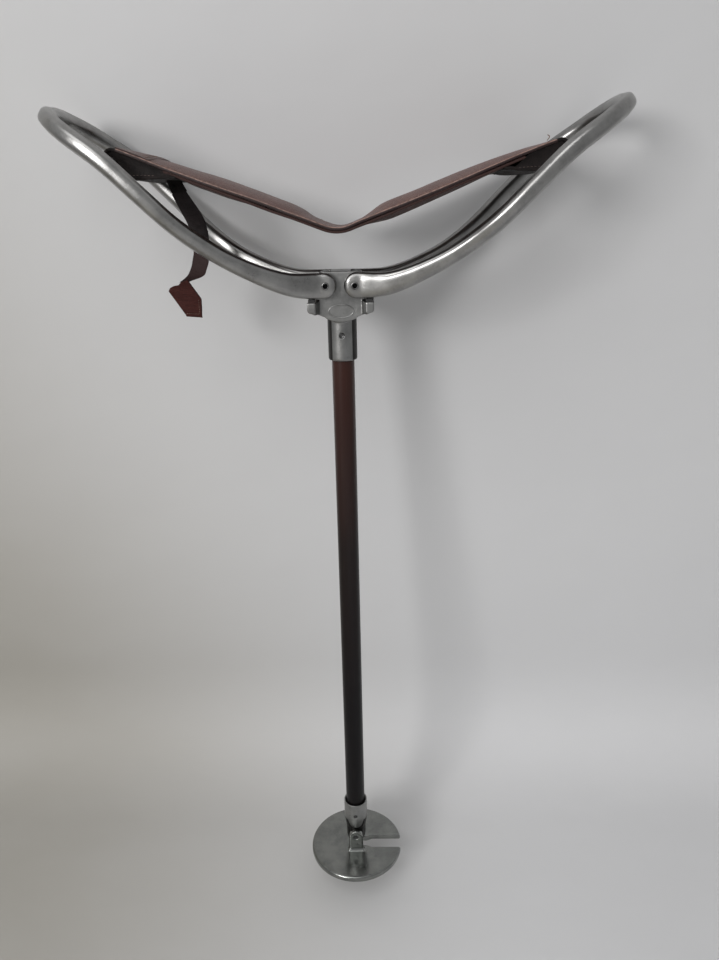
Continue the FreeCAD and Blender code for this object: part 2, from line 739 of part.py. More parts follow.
def wrap_outline():
    """The leather's end in the panel's side view: over the rod, round its outside and back to
    the seam under the panel."""
    t = leather_thickness
    lean = math.sqrt(0.5)
    inner_r = wrap_inside_radius
    outer_r = inner_r + t
    end = wrap_inside_end
    centre = (end - inner_r, -t - inner_r)
    low = wrap_inside[-1]
    low_centre = (low[0], low[1] + inner_r)
    under = offset_down(wrap_inside, t)
    edges = [line((seat_top_end, 0), (centre[0], 0)),
             arc((centre[0], 0), (centre[0] + outer_r * lean, centre[1] + outer_r * lean),
                 (end + t, centre[1])),
             line((end + t, centre[1]), (end + t, low_centre[1])),
             arc((end + t, low_centre[1]),
                 (low_centre[0] + outer_r * lean, low_centre[1] - outer_r * lean), under[-1])]
    for a, b in zip(reversed(under), list(reversed(under))[1:]):
        edges.append(line(a, b))
    start = wrap_inside[0]
    edges += [line(under[0], (start[0] - 3, under[0][1])), line((start[0] - 3, under[0][1]), (start[0] - 3, start[1])),
              line((start[0] - 3, start[1]), start)]
    for a, b in zip(wrap_inside, wrap_inside[1:]):
        edges.append(line(a, b))
    edges += [arc(low, (low_centre[0] + inner_r * lean, low_centre[1] - inner_r * lean), (end, low_centre[1])),
              line((end, low_centre[1]), (end, centre[1])),
              arc((end, centre[1]), (centre[0] + inner_r * lean, centre[1] + inner_r * lean),
                  (centre[0], -t)),
              line((centre[0], -t), (seat_top_end, -t)),
              line((seat_top_end, -t), (seat_top_end, 0))]
    return edges


def seam_top(along):
    edge, middle = top_face(along)
    return edge - leather_thickness / 2, middle - leather_thickness / 2


def seam_bottom(along):
    low = offset_down(wrap_inside, leather_thickness)[0][1]
    return low, low - 0.3


def make_seat_top():
    """The top leather, crowned over the padding, with the wrap that holds the rod."""
    stations = [place for place, height in seat_crown]
    top = layer(stations, seat_half_depth, top_face, top_back)
    wrap = slab(wrap_outline(), -seat_half_depth, seat_half_depth)
    first = wrap_inside[0][0]
    seam = layer([wrap_seam_start, (wrap_seam_start + first) / 2, first], seat_half_depth, seam_top, seam_bottom)
    return on_panel(top.fuse([wrap, seam]).removeSplitter())


def make_seat_lining():
    stations = [place for place, depth in seat_belly]
    return on_panel(layer(stations, seat_half_depth, lining_face, lining_back))


def make_seat_padding():
    stations = [place for place, depth in seat_belly[1:-1]]
    return on_panel(layer(stations, padding_half_depth, padding_top, padding_bottom))


def make_seat_strip():
    """The flexible middle of the seat, between the two panels' inner edges."""
    half = seat_hinge_x - seat_gap
    top = seat_hinge_z
    t = leather_thickness
    outline = [arc((-half, top), (0, top - seat_strip_dip), (half, top)), line((half, top), (half, top - t)),
               arc((half, top - t), (0, top - t - seat_strip_dip), (-half, top - t)),
               line((-half, top - t), (-half, top))]
    return slab(outline, -seat_half_depth, seat_half_depth)


# Closing strap

def make_strap():
    """A flat leather strap with a round head about its rivet and a wide tab at its end."""
    outline = strap_left_edge + strap_tab + strap_right_edge
    points = [in_xz(strap_pivot_x + x, pivot_z + strap_pivot_height + z) for x, z in outline]
    face = Part.Face(Part.makePolygon(points + points[:1]))
    face.translate(vec(0, strap_y - strap_thickness / 2, 0))
    strap = face.extrude(vec(0, strap_thickness, 0))
    ends = (strap_y - strap_thickness / 2, strap_y + strap_thickness / 2)
    head = rod_along_y(strap_head_radius, strap_pivot_x, pivot_z + strap_pivot_height, *ends)
    hole = rod_along_y(strap_rivet_diameter / 2 + running_clearance, strap_pivot_x,
                       pivot_z + strap_pivot_height, *ends)
    return strap.fuse(head).removeSplitter().cut(hole)


def make_hanger():
    """Two plies, one each side of the strap's head, sewn to the underside of the left panel."""
    half = hanger_width / 2
    low = pivot_z + strap_pivot_height - hanger_below_pivot
    gap = strap_thickness / 2 + side_clearance
    high = seat_hinge_z + (abs(strap_pivot_x) + half) * math.tan(math.radians(seat_slope))
    plies = []
    for start in (strap_y - gap - hanger_ply, strap_y + gap):
        plies.append(box((strap_pivot_x - half, start, low), (strap_pivot_x + half, start + hanger_ply, high)))
    keep = on_panel(box((0, -seat_half_depth, -loop_reach), (loop_reach, seat_half_depth, -leather_thickness)))
    hanger = Part.makeCompound(plies).common(other_side(keep))
    hanger = hanger.cut([other_side(make_seat_top()), other_side(make_seat_lining()), make_strap_rivet()])
    pieces = sorted(hanger.Solids, key=lambda piece: -piece.Volume)
    return Part.makeCompound(pieces[:2])


def make_strap_rivet():
    reach = strap_thickness / 2 + side_clearance + hanger_ply + 0.5
    return rod_along_y(strap_rivet_diameter / 2, strap_pivot_x, pivot_z + strap_pivot_height,
                       strap_y - reach, strap_y + reach)


def make_parts():
    """Every piece by its node's name."""
    loop = make_loop()
    rod = make_cross_rod()
    top = make_seat_top()
    lining = make_seat_lining()
    padding = make_seat_padding()
    radius = ferrule_diameter / 2
    collar_radius = collar_diameter / 2
    return {
        "shaft": make_shaft(),
        "head_casting": make_head(),
        "collar_rivet": make_rivet(pivot_z + collar_rivet_height, collar_radius),
        "stop_buffers": make_stop_buffers(),
        "right_pivot_pin": make_pivot_pin(1),
        "left_pivot_pin": make_pivot_pin(-1),
        "pivot_washers": make_washers(),
        "ferrule": make_ferrule(),
        "ferrule_rivet": make_rivet(plate_top + ferrule_rivet_height, radius),
        "ground_spike": make_spike(),
        "ground_plate": make_ground_plate(),
        "plate_hinge_pin": make_plate_pin(),
        "right_handle_loop": loop,
        "left_handle_loop": other_side(loop),
        "right_cross_rod": rod,
        "left_cross_rod": other_side(rod),
        "seat_fold_strip": make_seat_strip(),
        "right_seat_top": top,
        "left_seat_top": other_side(top),
        "right_seat_padding": padding,
        "left_seat_padding": other_side(padding),
        "right_seat_lining": lining,
        "left_seat_lining": other_side(lining),
        "strap_hanger": make_hanger(),
        "strap_rivet": make_strap_rivet(),
        "closing_strap": make_strap(),
    }


os.makedirs("parts", exist_ok=True)
for name, shape in make_parts().items():
    shape.exportStep(f"parts/{name}.step")
    print(f"{name}: {len(shape.Solids)} solids, {shape.Volume:.0f} mm3, valid {shape.isValid()}")
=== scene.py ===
import bmesh
import bpy
import math
import numpy as np
from mathutils import Matrix, Vector


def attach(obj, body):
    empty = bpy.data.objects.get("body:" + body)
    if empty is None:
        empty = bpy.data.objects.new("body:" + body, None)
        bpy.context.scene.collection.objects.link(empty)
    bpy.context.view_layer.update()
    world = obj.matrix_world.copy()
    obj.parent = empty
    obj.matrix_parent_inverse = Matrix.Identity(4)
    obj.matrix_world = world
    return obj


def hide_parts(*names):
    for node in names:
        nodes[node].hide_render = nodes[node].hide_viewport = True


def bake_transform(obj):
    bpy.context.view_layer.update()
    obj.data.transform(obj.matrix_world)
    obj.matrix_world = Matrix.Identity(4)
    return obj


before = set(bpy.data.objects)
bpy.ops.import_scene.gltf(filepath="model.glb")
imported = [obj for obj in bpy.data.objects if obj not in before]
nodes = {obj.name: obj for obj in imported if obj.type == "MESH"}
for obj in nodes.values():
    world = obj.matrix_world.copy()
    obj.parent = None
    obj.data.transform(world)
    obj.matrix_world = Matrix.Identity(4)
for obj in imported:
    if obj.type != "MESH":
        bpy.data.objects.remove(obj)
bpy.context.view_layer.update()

# Walking stick seat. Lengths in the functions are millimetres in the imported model's frame, and
# become metres as a mesh is made. Heights called rise count from the handle pivots.
MM = 0.001
sides = ((1, "right"), (-1, "left"))

plate_top = 40.0
shaft_radius, shaft_foot, shaft_top = 9.5, 78.6, 591.6
ferrule_reach = 11.85
pivot_z, pivot_offset, pivot_bore = 624.2, 11.6, 3.05
rail_middle_y = 18.1
oval_z = pivot_z - 20.5
rod_reach, rod_rise, rod_radius = 150.4, 91.2, 4.0
loop_rise = [(-9, 0), (12, 0.2), (30, 2.6), (55, 12.4), (80, 26.0), (105, 45.1), (130, 69.6),
             (155, 93.3), (180, 111.2), (201.3, 126.4)]
loop_spread = [(-9, 18.1), (5, 18.1), (12, 20.3), (20, 23.2), (40, 28.5), (70, 35.3), (90, 40.5),
               (105, 47.4), (120, 52.2), (135, 53.9), (147, 54.2)]
rail_height = [(1.5, 20), (14, 19.4), (30, 17.2), (50, 14.6), (80, 12.7), (202, 12.4)]
rail_width = [(1.5, 9), (14, 9.4), (30, 10.6), (55, 11.8), (85, 12.4), (202, 12.4)]
bow_start, bow_reach, bow_fullness = 147.0, 201.3, 2.45

seat_half_depth = 42.0
seat_slope = math.radians(20.2)
seat_hinge_x, seat_hinge_z = 6.3, 669.0
fold_radius = 26.0
pad_reach, pad_fullness = 38.0, 2.4
leather_thickness, lining_thickness = 2.4, 2.0
rod_along, rod_height = 162.15, -10.22
lining_short = {1: 26.0, -1: 38.0}
top_seam, cheek_seam, cheek_middle = 40.1, 41.4, 40.4
right_crown = [(0.3, 0.1), (12, 0.5), (22, 2.5), (30, 4.4), (38, 5.0), (62, 4.8), (86, 4.6),
               (106, 4.4), (124, 4.0), (138, 3.2), (148, 2.3), (156, 1.1), (162, 0.3)]
left_crown = [(0.3, 0.1), (9, 0.3), (14, 1.0), (19, 2.3), (25, 4.2), (31, 5.1), (38, 5.4), (86, 5.4),
              (110, 4.4), (124, 3.7), (138, 2.8), (148, 2.0), (156, 1.0), (162, 0.3)]
right_belly = [(3, 0.1), (12, 1.5), (22, 3.1), (38, 3.9), (62, 3.3), (86, 2.3), (106, 1.5),
               (118, 0.8), (124, 0.1)]
left_belly = [(14, 0.1), (38, 0.6), (62, 1.5), (86, 2.4), (104, 2.4), (116, 1.4), (124, 0.1)]


def through(table, at):
    """A smooth line through (place, value) pairs: cubic between neighbours, with each slope that
    of the line between the pairs beside it, but at most three times the flatter of the two runs."""
    x, y = np.array(table, float).T
    rate = np.diff(y) / np.diff(x)
    slope = np.empty(len(x))
    slope[0], slope[-1] = rate[0], rate[-1]
    middle = (y[2:] - y[:-2]) / (x[2:] - x[:-2])
    limit = 3 * np.minimum(np.abs(rate[1:]), np.abs(rate[:-1]))
    slope[1:-1] = np.clip(middle, -limit, limit) * (rate[1:] * rate[:-1] > 0)
    at = np.clip(np.asarray(at, float), x[0], x[-1])
    i = np.clip(np.searchsorted(x, at, side="right") - 1, 0, len(x) - 2)
    run = x[i + 1] - x[i]
    t = (at - x[i]) / run
    return ((2 * t ** 3 - 3 * t ** 2 + 1) * y[i] + (t ** 3 - 2 * t ** 2 + t) * run * slope[i]
            + (3 * t ** 2 - 2 * t ** 3) * y[i + 1] + (t ** 3 - t ** 2) * run * slope[i + 1])


def smooth(value, low, high):
    """0 below low, 1 above high, and a soft S between them."""
    t = np.clip((value - low) / (high - low), 0, 1)
    return t * t * (3 - 2 * t)


def fuller(value, power):
    """A sine or cosine made fuller: its size raised to a power, with its own sign."""
    return np.sign(value) * np.abs(value) ** power


def unit(vectors):
    """Each vector at length 1."""
    return vectors / np.linalg.norm(vectors, axis=-1, keepdims=True)


def lengths(points):
    """The length along a line of points from its start to each of them."""
    return np.concatenate([[0], np.cumsum(np.linalg.norm(np.diff(points, axis=0), axis=1))])


def evenly(points, count):
    """Count points spaced evenly along a dense line of points."""
    along = lengths(points)
    place = np.linspace(0, along[-1], count)
    return np.stack([np.interp(place, along, points[:, k]) for k in range(points.shape[1])], 1)


def waves(u, v, size, seed):
    """A soft random relief between about -1 and 1: eight sine waves of random direction, with
    wavelengths around the given size."""
    draw = np.random.default_rng(seed)
    total = np.zeros(np.broadcast(u, v).shape)
    for _ in range(8):
        turn, phase = draw.uniform(0, 2 * np.pi), draw.uniform(0, 2 * np.pi)
        length = size * draw.uniform(0.7, 1.6)
        total += np.sin(2 * np.pi * (u * np.cos(turn) + v * np.sin(turn)) / length + phase)
    return total / 4


# Meshes

def tubes(points):
    """An open mesh from grids of points (..., rows, columns, 3) in millimetres, where the last
    column of each joins its first."""
    index = np.arange(points[..., 0].size).reshape(points.shape[:-1])
    index = np.concatenate([index, index[..., :1]], -1)
    quads = np.stack([index[..., :-1, :-1], index[..., :-1, 1:], index[..., 1:, 1:],
                      index[..., 1:, :-1]], -1)
    mesh = bpy.data.meshes.new("mesh")
    mesh.from_pydata((points.reshape(-1, 3) * MM).tolist(), [], quads.reshape(-1, 4).tolist())
    return mesh


def mesh_of(points, place=None, smooth_angle=40, merge=1e-7):
    """A closed mesh from a grid of points (rows, columns, 3) in millimetres. The last column joins
    the first. Rows or columns that fall on each other are merged, so that ends close, and the
    normals then point outwards."""
    mesh = tubes(points)
    if place is not None:
        layer = mesh.attributes.new("place", "FLOAT_VECTOR", "POINT")
        layer.data.foreach_set("vector", (place.reshape(-1, 3) * MM).astype(np.float32).ravel())
    return closed(mesh, smooth_angle, merge)


def closed(mesh, smooth_angle=40, merge=1e-7):
    """Merges what coincides, drops faces with no area, turns the faces outwards and shades them
    smooth except over sharp edges."""
    work = bmesh.new()
    work.from_mesh(mesh)
    bmesh.ops.remove_doubles(work, verts=work.verts, dist=merge)
    bmesh.ops.dissolve_degenerate(work, edges=work.edges, dist=merge)
    bmesh.ops.recalc_face_normals(work, faces=work.faces)
    limit = math.radians(smooth_angle)
    for edge in work.edges:
        edge.smooth = len(edge.link_faces) != 2 or edge.calc_face_angle(0) < limit
    for face in work.faces:
        face.smooth = True
    work.to_mesh(mesh)
    work.free()
    return mesh


def put(name, data):
    """A new object in the scene."""
    made = bpy.data.objects.new(name, data)
    bpy.context.scene.collection.objects.link(made)
    return made


def piece(name, mesh, body, material, replaces=()):
    """Puts a finished mesh in the scene, on its body, with its material."""
    made = put(name, mesh)
    mesh.name = name
    mesh.materials.clear()
    mesh.materials.append(material)
    if body:
        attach(made, body)
    if replaces:
        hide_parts(*replaces)
    return made


def joined(meshes):
    """One mesh from several."""
    work = bmesh.new()
    for mesh in meshes:
        work.from_mesh(mesh)
        bpy.data.meshes.remove(mesh)
    mesh = bpy.data.meshes.new("mesh")
    work.to_mesh(mesh)
    work.free()
    return mesh


def turned(profile, centre, axis, columns=64):
    """A round piece: a profile of (radius, height) pairs carried round an axis through centre.
    A profile that starts and ends at radius 0 is closed at both ends."""
    radius, height = np.array(profile, float).T[:, :, None]
    turn = np.linspace(0, 2 * np.pi, columns, endpoint=False)[None, :]
    local = np.stack([radius * np.cos(turn), radius * np.sin(turn), height + 0 * turn], -1)
    order = {"x": [2, 0, 1], "y": [1, 2, 0], "z": [0, 1, 2]}[axis]
    return mesh_of(local[:, :, order] + np.array(centre, float))


def rounded(profile, radius, steps=5):
    """A profile whose inner corners are rounded: each corner becomes a curve from one side to
    the other, no longer than half of either side."""
    points = np.array(profile, float)
    made = [points[0]]
    t = np.linspace(0, 1, steps)[:, None]
    for before, corner, after in zip(points, points[1:], points[2:]):
        one, two = before - corner, after - corner
        one_length, two_length = np.linalg.norm(one), np.linalg.norm(two)
        start = corner + one * min(radius / one_length, 0.48)
        end = corner + two * min(radius / two_length, 0.48)
        made.extend((1 - t) ** 2 * start + 2 * t * (1 - t) * corner + t ** 2 * end)
    made.append(points[-1])
    return np.array(made)


def hull(points):
    """The smallest convex solid round some points."""
    work = bmesh.new()
    made = [work.verts.new([c * MM for c in p]) for p in points]
    bmesh.ops.convex_hull(work, input=made)
    mesh = bpy.data.meshes.new("mesh")
    work.to_mesh(mesh)
    work.free()
    return mesh


def modified(mesh, kind, **settings):
    """The mesh as one modifier leaves it."""
    work = put("work", mesh)
    modifier = work.modifiers.new("work", kind)
    for key, value in settings.items():
        setattr(modifier, key, value)
    graph = bpy.context.evaluated_depsgraph_get()
    made = bpy.data.meshes.new_from_object(work.evaluated_get(graph))
    bpy.data.objects.remove(work)
    return made


def softened(node, voxel, rounds, added=(), pushed=None):
    """A copy of a CAD solid, merged, remeshed evenly and relaxed, so that its edges are as soft
    as a casting's. Other solids can be added, and the even points pushed before they relax."""
    mesh = closed(joined([nodes[node].data.copy(), *added]))
    mesh = modified(mesh, "REMESH", mode="VOXEL", voxel_size=voxel * MM)
    if pushed:
        points = np.empty(len(mesh.vertices) * 3)
        mesh.vertices.foreach_get("co", points)
        mesh.vertices.foreach_set("co", (pushed(points.reshape(-1, 3) / MM) * MM).ravel())
    mesh = modified(mesh, "SMOOTH", factor=0.5, iterations=rounds)
    mesh.polygons.foreach_set("use_smooth", np.ones(len(mesh.polygons), bool))
    return mesh


# Materials

class Value:
    """A socket on its way through a node tree. Arithmetic on it adds Math nodes."""

    def __init__(self, owner, socket):
        self.owner, self.socket = owner, socket

    def math(self, operation, *values):
        return self.owner.node("ShaderNodeMath", {"operation": operation}, dict(enumerate(values)))

    def __add__(self, other):
        return self.math("ADD", self, other)

    __radd__ = __add__

    def __mul__(self, other):
        return self.math("MULTIPLY", self, other)

    __rmul__ = __mul__

    def __sub__(self, other):
        return self.math("SUBTRACT", self, other)

    def __rsub__(self, other):
        return self.math("SUBTRACT", other, self)

    def __truediv__(self, other):
        return self.math("DIVIDE", self, other)

    def __abs__(self):
        return self.math("ABSOLUTE", self)

    def least(self, other):
        return self.math("MINIMUM", self, other)

    def most(self, other):
        return self.math("MAXIMUM", self, other)


class Nodes:
    """A node tree, emptied, to which every node is added in one way."""

    def __init__(self, tree):
        self.tree = tree
        tree.nodes.clear()

    def node(self, kind, settings=None, sockets=None, result=0):
        """Adds a node: its settings first, then a value or a link for each named socket."""
        made = self.tree.nodes.new(kind)
        for key, value in (settings or {}).items():
            if key == "stops":
                ramp = made.color_ramp
                while len(ramp.elements) < len(value):
                    ramp.elements.new(0.5)
                for element, (position, colour) in zip(ramp.elements, value):
                    element.position = position
                    element.color = (*colour, 1)
            else:
                setattr(made, key, value)
        for key, value in (sockets or {}).items():
            if isinstance(value, Value):
                self.tree.links.new(value.socket, made.inputs[key])
            else:
                made.inputs[key].default_value = value
        return Value(self, made.outputs[result]) if len(made.outputs) else made


class Finish(Nodes):
    """A material under construction: a Principled shader whose constants are set on its own
    sockets, and whose varying inputs come from nodes."""

    def __init__(self, name, constants, coordinates="object"):
        self.material = bpy.data.materials.new(name)
        self.material.use_nodes = True
        super().__init__(self.material.node_tree)
        self.shown = self.node("ShaderNodeBsdfPrincipled", None, constants)
        self.out = self.node("ShaderNodeOutputMaterial", None, {"Surface": self.shown})
        if coordinates == "object":
            self.place = self.node("ShaderNodeTexCoord", result="Object")
        else:
            self.place = self.node("ShaderNodeAttribute", {"attribute_name": coordinates},
                                   result="Vector")

    def axis(self, name):
        return self.node("ShaderNodeSeparateXYZ", None, {0: self.place}, result=name)

    def noise(self, size, detail=2.0, stretch=(1, 1, 1), rough=0.5, turn=(0, 0, 0), distort=0.0):
        """Noise from 0 to 1 whose features are about size millimetres, longer where stretch is
        over 1."""
        place = self.place
        if stretch != (1, 1, 1) or turn != (0, 0, 0):
            place = self.node("ShaderNodeMapping", None, {"Vector": place, "Rotation": turn})
            place = self.node("ShaderNodeVectorMath", {"operation": "DIVIDE"}, {0: place, 1: stretch})
        sockets = {"Vector": place, "Scale": 1 / (size * MM), "Detail": detail, "Roughness": rough,
                   "Distortion": distort}
        return self.node("ShaderNodeTexNoise", None, sockets)

    def cells(self, size):
        """The distance to the edge of cells about size millimetres wide."""
        return self.node("ShaderNodeTexVoronoi", {"feature": "DISTANCE_TO_EDGE"},
                         {"Vector": self.place, "Scale": 1 / (size * MM)})

    def between(self, value, low, high, to_low=0.0, to_high=1.0):
        """A soft step from to_low to to_high as the value goes from low to high."""
        sockets = {"Value": value, "From Min": low, "From Max": high, "To Min": to_low,
                   "To Max": to_high}
        return self.node("ShaderNodeMapRange", {"interpolation_type": "SMOOTHSTEP"}, sockets)

    def mix(self, factor, one, two):
        """A mix of two colours, each a triple or a link."""
        one, two = [c if isinstance(c, Value) else (*c, 1) for c in (one, two)]
        return self.node("ShaderNodeMix", {"data_type": "RGBA"}, {0: factor, 6: one, 7: two}, result=2)

    def feed(self, socket, value):
        self.tree.links.new(value.socket, self.shown.socket.node.inputs[socket])

    def bump(self, height, distance, strength=1.0, below=None):
        """Relief of the given depth in millimetres, on top of another relief."""
        sockets = {"Height": height, "Distance": distance * MM, "Strength": strength}
        if below is not None:
            sockets["Normal"] = below
        return self.node("ShaderNodeBump", None, sockets)


def cast_metal(name, dark, light, rough, spread, painted_shade=None):
    """Satin cast aluminium: clouded by handling, with darker spots, fine scratches, small dents and a
    faint sandy grain. The part that the last argument picks out, as 1, is painted near black: painted
    shade in a recess."""
    f = Finish(name, {"Metallic": 1.0, "IOR": 1.45})
    clouds = f.noise(16, 4, rough=0.6)
    fine = f.noise(2.2, 3, rough=0.65)
    spots = f.between(f.noise(4.5, 2), 0.62, 0.74)
    colour = f.mix(f.between(clouds, 0.3, 0.7), dark, light)
    colour = f.mix(f.between(fine, 0.35, 0.8) * 0.35, colour, light)
    colour = f.mix(spots * 0.2, colour, tuple(c * 0.45 for c in dark))
    # painted shade: the picked-out recess is darkened to near black
    if painted_shade:
        colour = f.mix(painted_shade(f) * 0.9, colour, (0.012, 0.011, 0.010))
    f.feed("Base Color", colour)
    lines = f.between(f.noise(0.35, 2, stretch=(34, 1, 1), turn=(0, 0.35, 0)), 0.62, 0.72)
    cross = f.between(f.noise(0.3, 2, stretch=(1, 1, 22), turn=(0.3, 0.85, 0)), 0.66, 0.74)
    gloss = rough + (clouds - 0.5) * spread + (fine - 0.5) * (spread * 0.6) + lines * 0.05
    f.feed("Roughness", gloss.least(0.75).most(0.16))
    relief = f.bump(f.noise(0.55, 2), 0.02)
    relief = f.bump(1 - lines - cross * 0.7, 0.012, below=relief)
    dents = f.between(f.noise(7, 1), 0.68, 0.8)
    relief = f.bump(1 - dents, 0.10, below=relief)
    f.feed("Normal", relief)
    return f.material


def bright_steel(name, colour, rough, recess=None):
    """Plain machined steel with turning marks and darker clouds. Nearer to the middle plane than
    recess, in its hollow ends, it is painted near black as shade."""
    f = Finish(name, {"Metallic": 1.0})
    clouds = f.noise(3.0, 3)
    tone = f.mix(f.between(clouds, 0.45, 0.75), colour, tuple(c * 0.62 for c in colour))
    # painted shade: the hollow ends are darkened to near black
    if recess:
        hollow_shade = f.between(abs(f.axis("Y")), (recess - 0.4) * MM, recess * MM, 1.0, 0.0)
        tone = f.mix(hollow_shade, tone, (0.008, 0.008, 0.008))
    f.feed("Base Color", tone)
    f.feed("Roughness", rough + (clouds - 0.5) * 0.2)
    f.feed("Normal", f.bump(f.noise(0.3, 2), 0.01))
    return f.material


def enamel(name):
    """Brown enamel over the tube, red-brown at its top and near black at its foot, under a hard
    gloss that is scuffed along its length."""
    f = Finish(name, {"Coat IOR": 1.4, "Coat Roughness": 0.16, "Specular IOR Level": 0.1})
    height = f.axis("Z")
    drift = f.noise(40, 3, stretch=(1, 1, 3))
    level = height + (drift - 0.5) * 0.12
    colour = f.node("ShaderNodeValToRGB",
                    {"stops": [(0.0, (0.0055, 0.0050, 0.0052)), (0.35, (0.0060, 0.0050, 0.0056)),
                               (0.66, (0.0100, 0.0058, 0.0055)), (0.93, (0.034, 0.0105, 0.0072))]},
                    {0: level / 0.6})
    scuffs = f.between(f.noise(0.5, 2, stretch=(1, 1, 60)), 0.60, 0.75)
    f.feed("Base Color", f.mix(scuffs * 0.25, colour, (0.05, 0.035, 0.03)))
    f.feed("Roughness", 0.34 + scuffs * 0.2 + (drift - 0.5) * 0.2)
    f.feed("Coat Weight", f.between(height, 0.15, 0.6, 0.12, 0.7) - scuffs * 0.1)
    f.feed("Normal", f.bump(f.noise(9, 2), 0.05))
    return f.material


def leather(name, colour, worn, deep, rough, cut=None, edge=None, corner_wear_and_shading=None, sheen=0.0,
            foot=None):
    """Old smooth hide: fine pebbled grain, creases where it bends, worn and faded over its high places
    and dark in its hollows. Past the half width cut, the dark cut edge shows, and the upper corner of
    that edge takes a colour of its own: lighter on the top and flap leathers, partly wear and partly a
    painted highlight, and darker on the lining, painted shade under the top leather. Foot is the colour
    of the lower part. It reads the place on the flat hide, so that the grain stays on the leather when
    it bends."""
    f = Finish(name, {"Specular IOR Level": 0.42 if sheen else 0.2, "Sheen Weight": sheen,
                      "Sheen Roughness": 0.35}, coordinates="place")
    patches = f.noise(22, 4, rough=0.6)
    mottle = f.noise(3.0, 3)
    grain = f.cells(1.1)
    pores = f.between(grain, 0.02, 0.16)
    bends = f.noise(5.5, 3, stretch=(0.6, 2.4, 1), distort=0.8)
    creases = f.between(bends, 0.46, 0.5) * f.between(bends, 0.5, 0.54, 1.0, 0.0)
    tone = f.mix(f.between(patches, 0.36, 0.68), colour, worn)
    tone = f.mix(f.between(mottle, 0.4, 0.75) * 0.4, tone, deep)
    tone = f.mix((1 - pores) * 0.35, tone, deep)
    tone = f.mix(creases * 0.25, tone, deep)
    if foot:
        tone = f.mix(f.between(f.axis("X"), 50 * MM, 70 * MM), tone, foot)
    if cut:
        side = f.between(abs(f.axis("Y")), (cut - 0.3) * MM, (cut - 0.1) * MM)
        # the edge's upper corner: partly wear and partly painted light, a highlight on the top and flap
        # leathers and shade on the lining
        corner = f.between(f.axis("Z"), 0.3 * MM, 0.8 * MM) * (0.5 + f.between(mottle, 0.3, 0.6) * 0.5)
        tone = f.mix(side, tone, f.mix(corner, edge, corner_wear_and_shading))
    f.feed("Base Color", tone)
    f.feed("Roughness", rough + (patches - 0.5) * 0.22 + (1 - pores) * 0.12)
    relief = f.bump(pores, 0.05, below=f.bump(f.noise(0.5, 2), 0.02))
    relief = f.bump(1 - creases, 0.10, below=relief)
    f.feed("Normal", f.bump(mottle, 0.12, below=relief))
    return f.material


def thread_material(name, colour):
    """Waxed thread, darker where it is dirty."""
    f = Finish(name, {"Roughness": 0.6})
    dirt = f.noise(6, 2)
    f.feed("Base Color", f.mix(f.between(dirt, 0.35, 0.7), colour, tuple(c * 0.4 for c in colour)))
    f.feed("Normal", f.bump(f.noise(0.25, 1), 0.03))
    return f.material


def rubber_material(name):
    """Hard black rubber with a dull, slightly dusty face."""
    f = Finish(name, {"IOR": 1.5})
    dust = f.noise(2.0, 3)
    f.feed("Base Color", f.mix(f.between(dust, 0.45, 0.8), (0.012, 0.012, 0.013), (0.05, 0.048, 0.046)))
    f.feed("Roughness", 0.55 + (dust - 0.5) * 0.3)
    f.feed("Normal", f.bump(f.noise(0.5, 2), 0.04))
    return f.material


def in_pockets(f):
    """1 between the head's cheeks beside its middle web, and 0 elsewhere: the pockets that get painted
    shade.
    """
    x, y = abs(f.axis("X")), abs(f.axis("Y"))
    beside = f.between(x, 7.9 * MM, 8.5 * MM) * f.between(x, 18.6 * MM, 19.4 * MM, 1.0, 0.0)
    return beside * f.between(y, 8.5 * MM, 9.1 * MM, 1.0, 0.0)


def on_tang(f):
    """1 on the ferrule's flat tang, behind the plate's ears, and 0 elsewhere: the gap that gets painted
    shade.
    """
    near = f.between(abs(f.axis("Y")), 7.9 * MM, 8.3 * MM, 1.0, 0.0)
    return near * f.between(f.axis("Z"), 76 * MM, 79 * MM, 1.0, 0.0)


rail_metal = cast_metal("satin_cast_rails", (0.245, 0.242, 0.237), (0.345, 0.341, 0.333), 0.30,
                        0.12)
# the head's pockets between its cheeks are painted near black as shade
head_metal = cast_metal("satin_cast_head", (0.215, 0.215, 0.212), (0.31, 0.31, 0.304), 0.36,
                        0.14, in_pockets)
# the ferrule's tang in the gap behind the plate's ears is painted near black as shade
foot_metal = cast_metal("satin_cast_ferrule", (0.235, 0.237, 0.232), (0.33, 0.332, 0.325), 0.33,
                        0.14, on_tang)
plate_metal = cast_metal("worn_cast_plate", (0.195, 0.203, 0.195), (0.29, 0.296, 0.282), 0.20,
                         0.12)
pin_metal = bright_steel("pin_steel", (0.52, 0.51, 0.50), 0.3)
hollow_pin_metal = bright_steel("hollow_pin_steel", (0.24, 0.238, 0.235), 0.34, 22.0)
dark_metal = bright_steel("dark_rivet_steel", (0.10, 0.10, 0.10), 0.42)
black_metal = bright_steel("blackened_rivet_steel", (0.018, 0.017, 0.017), 0.6)
spike_metal = bright_steel("ground_steel", (0.36, 0.35, 0.34), 0.35)
brown_enamel = enamel("brown_enamel")
rubber = rubber_material("black_rubber")
# the lighter edge corners of the top and flap leathers are partly wear and partly a painted highlight
top_leather = leather("brown_top_leather", (0.112, 0.046, 0.035), (0.165, 0.086, 0.071),
                      (0.045, 0.017, 0.013), 0.45, cut=41.7, edge=(0.018, 0.0065, 0.006),
                      corner_wear_and_shading=(0.30, 0.19, 0.16), sheen=0.08)
flap_leather = leather("brown_flap_leather", (0.095, 0.043, 0.034), (0.15, 0.082, 0.07),
                       (0.042, 0.017, 0.013), 0.45, cut=41.5, edge=(0.03, 0.012, 0.010),
                       corner_wear_and_shading=(0.26, 0.17, 0.145), sheen=0.08)
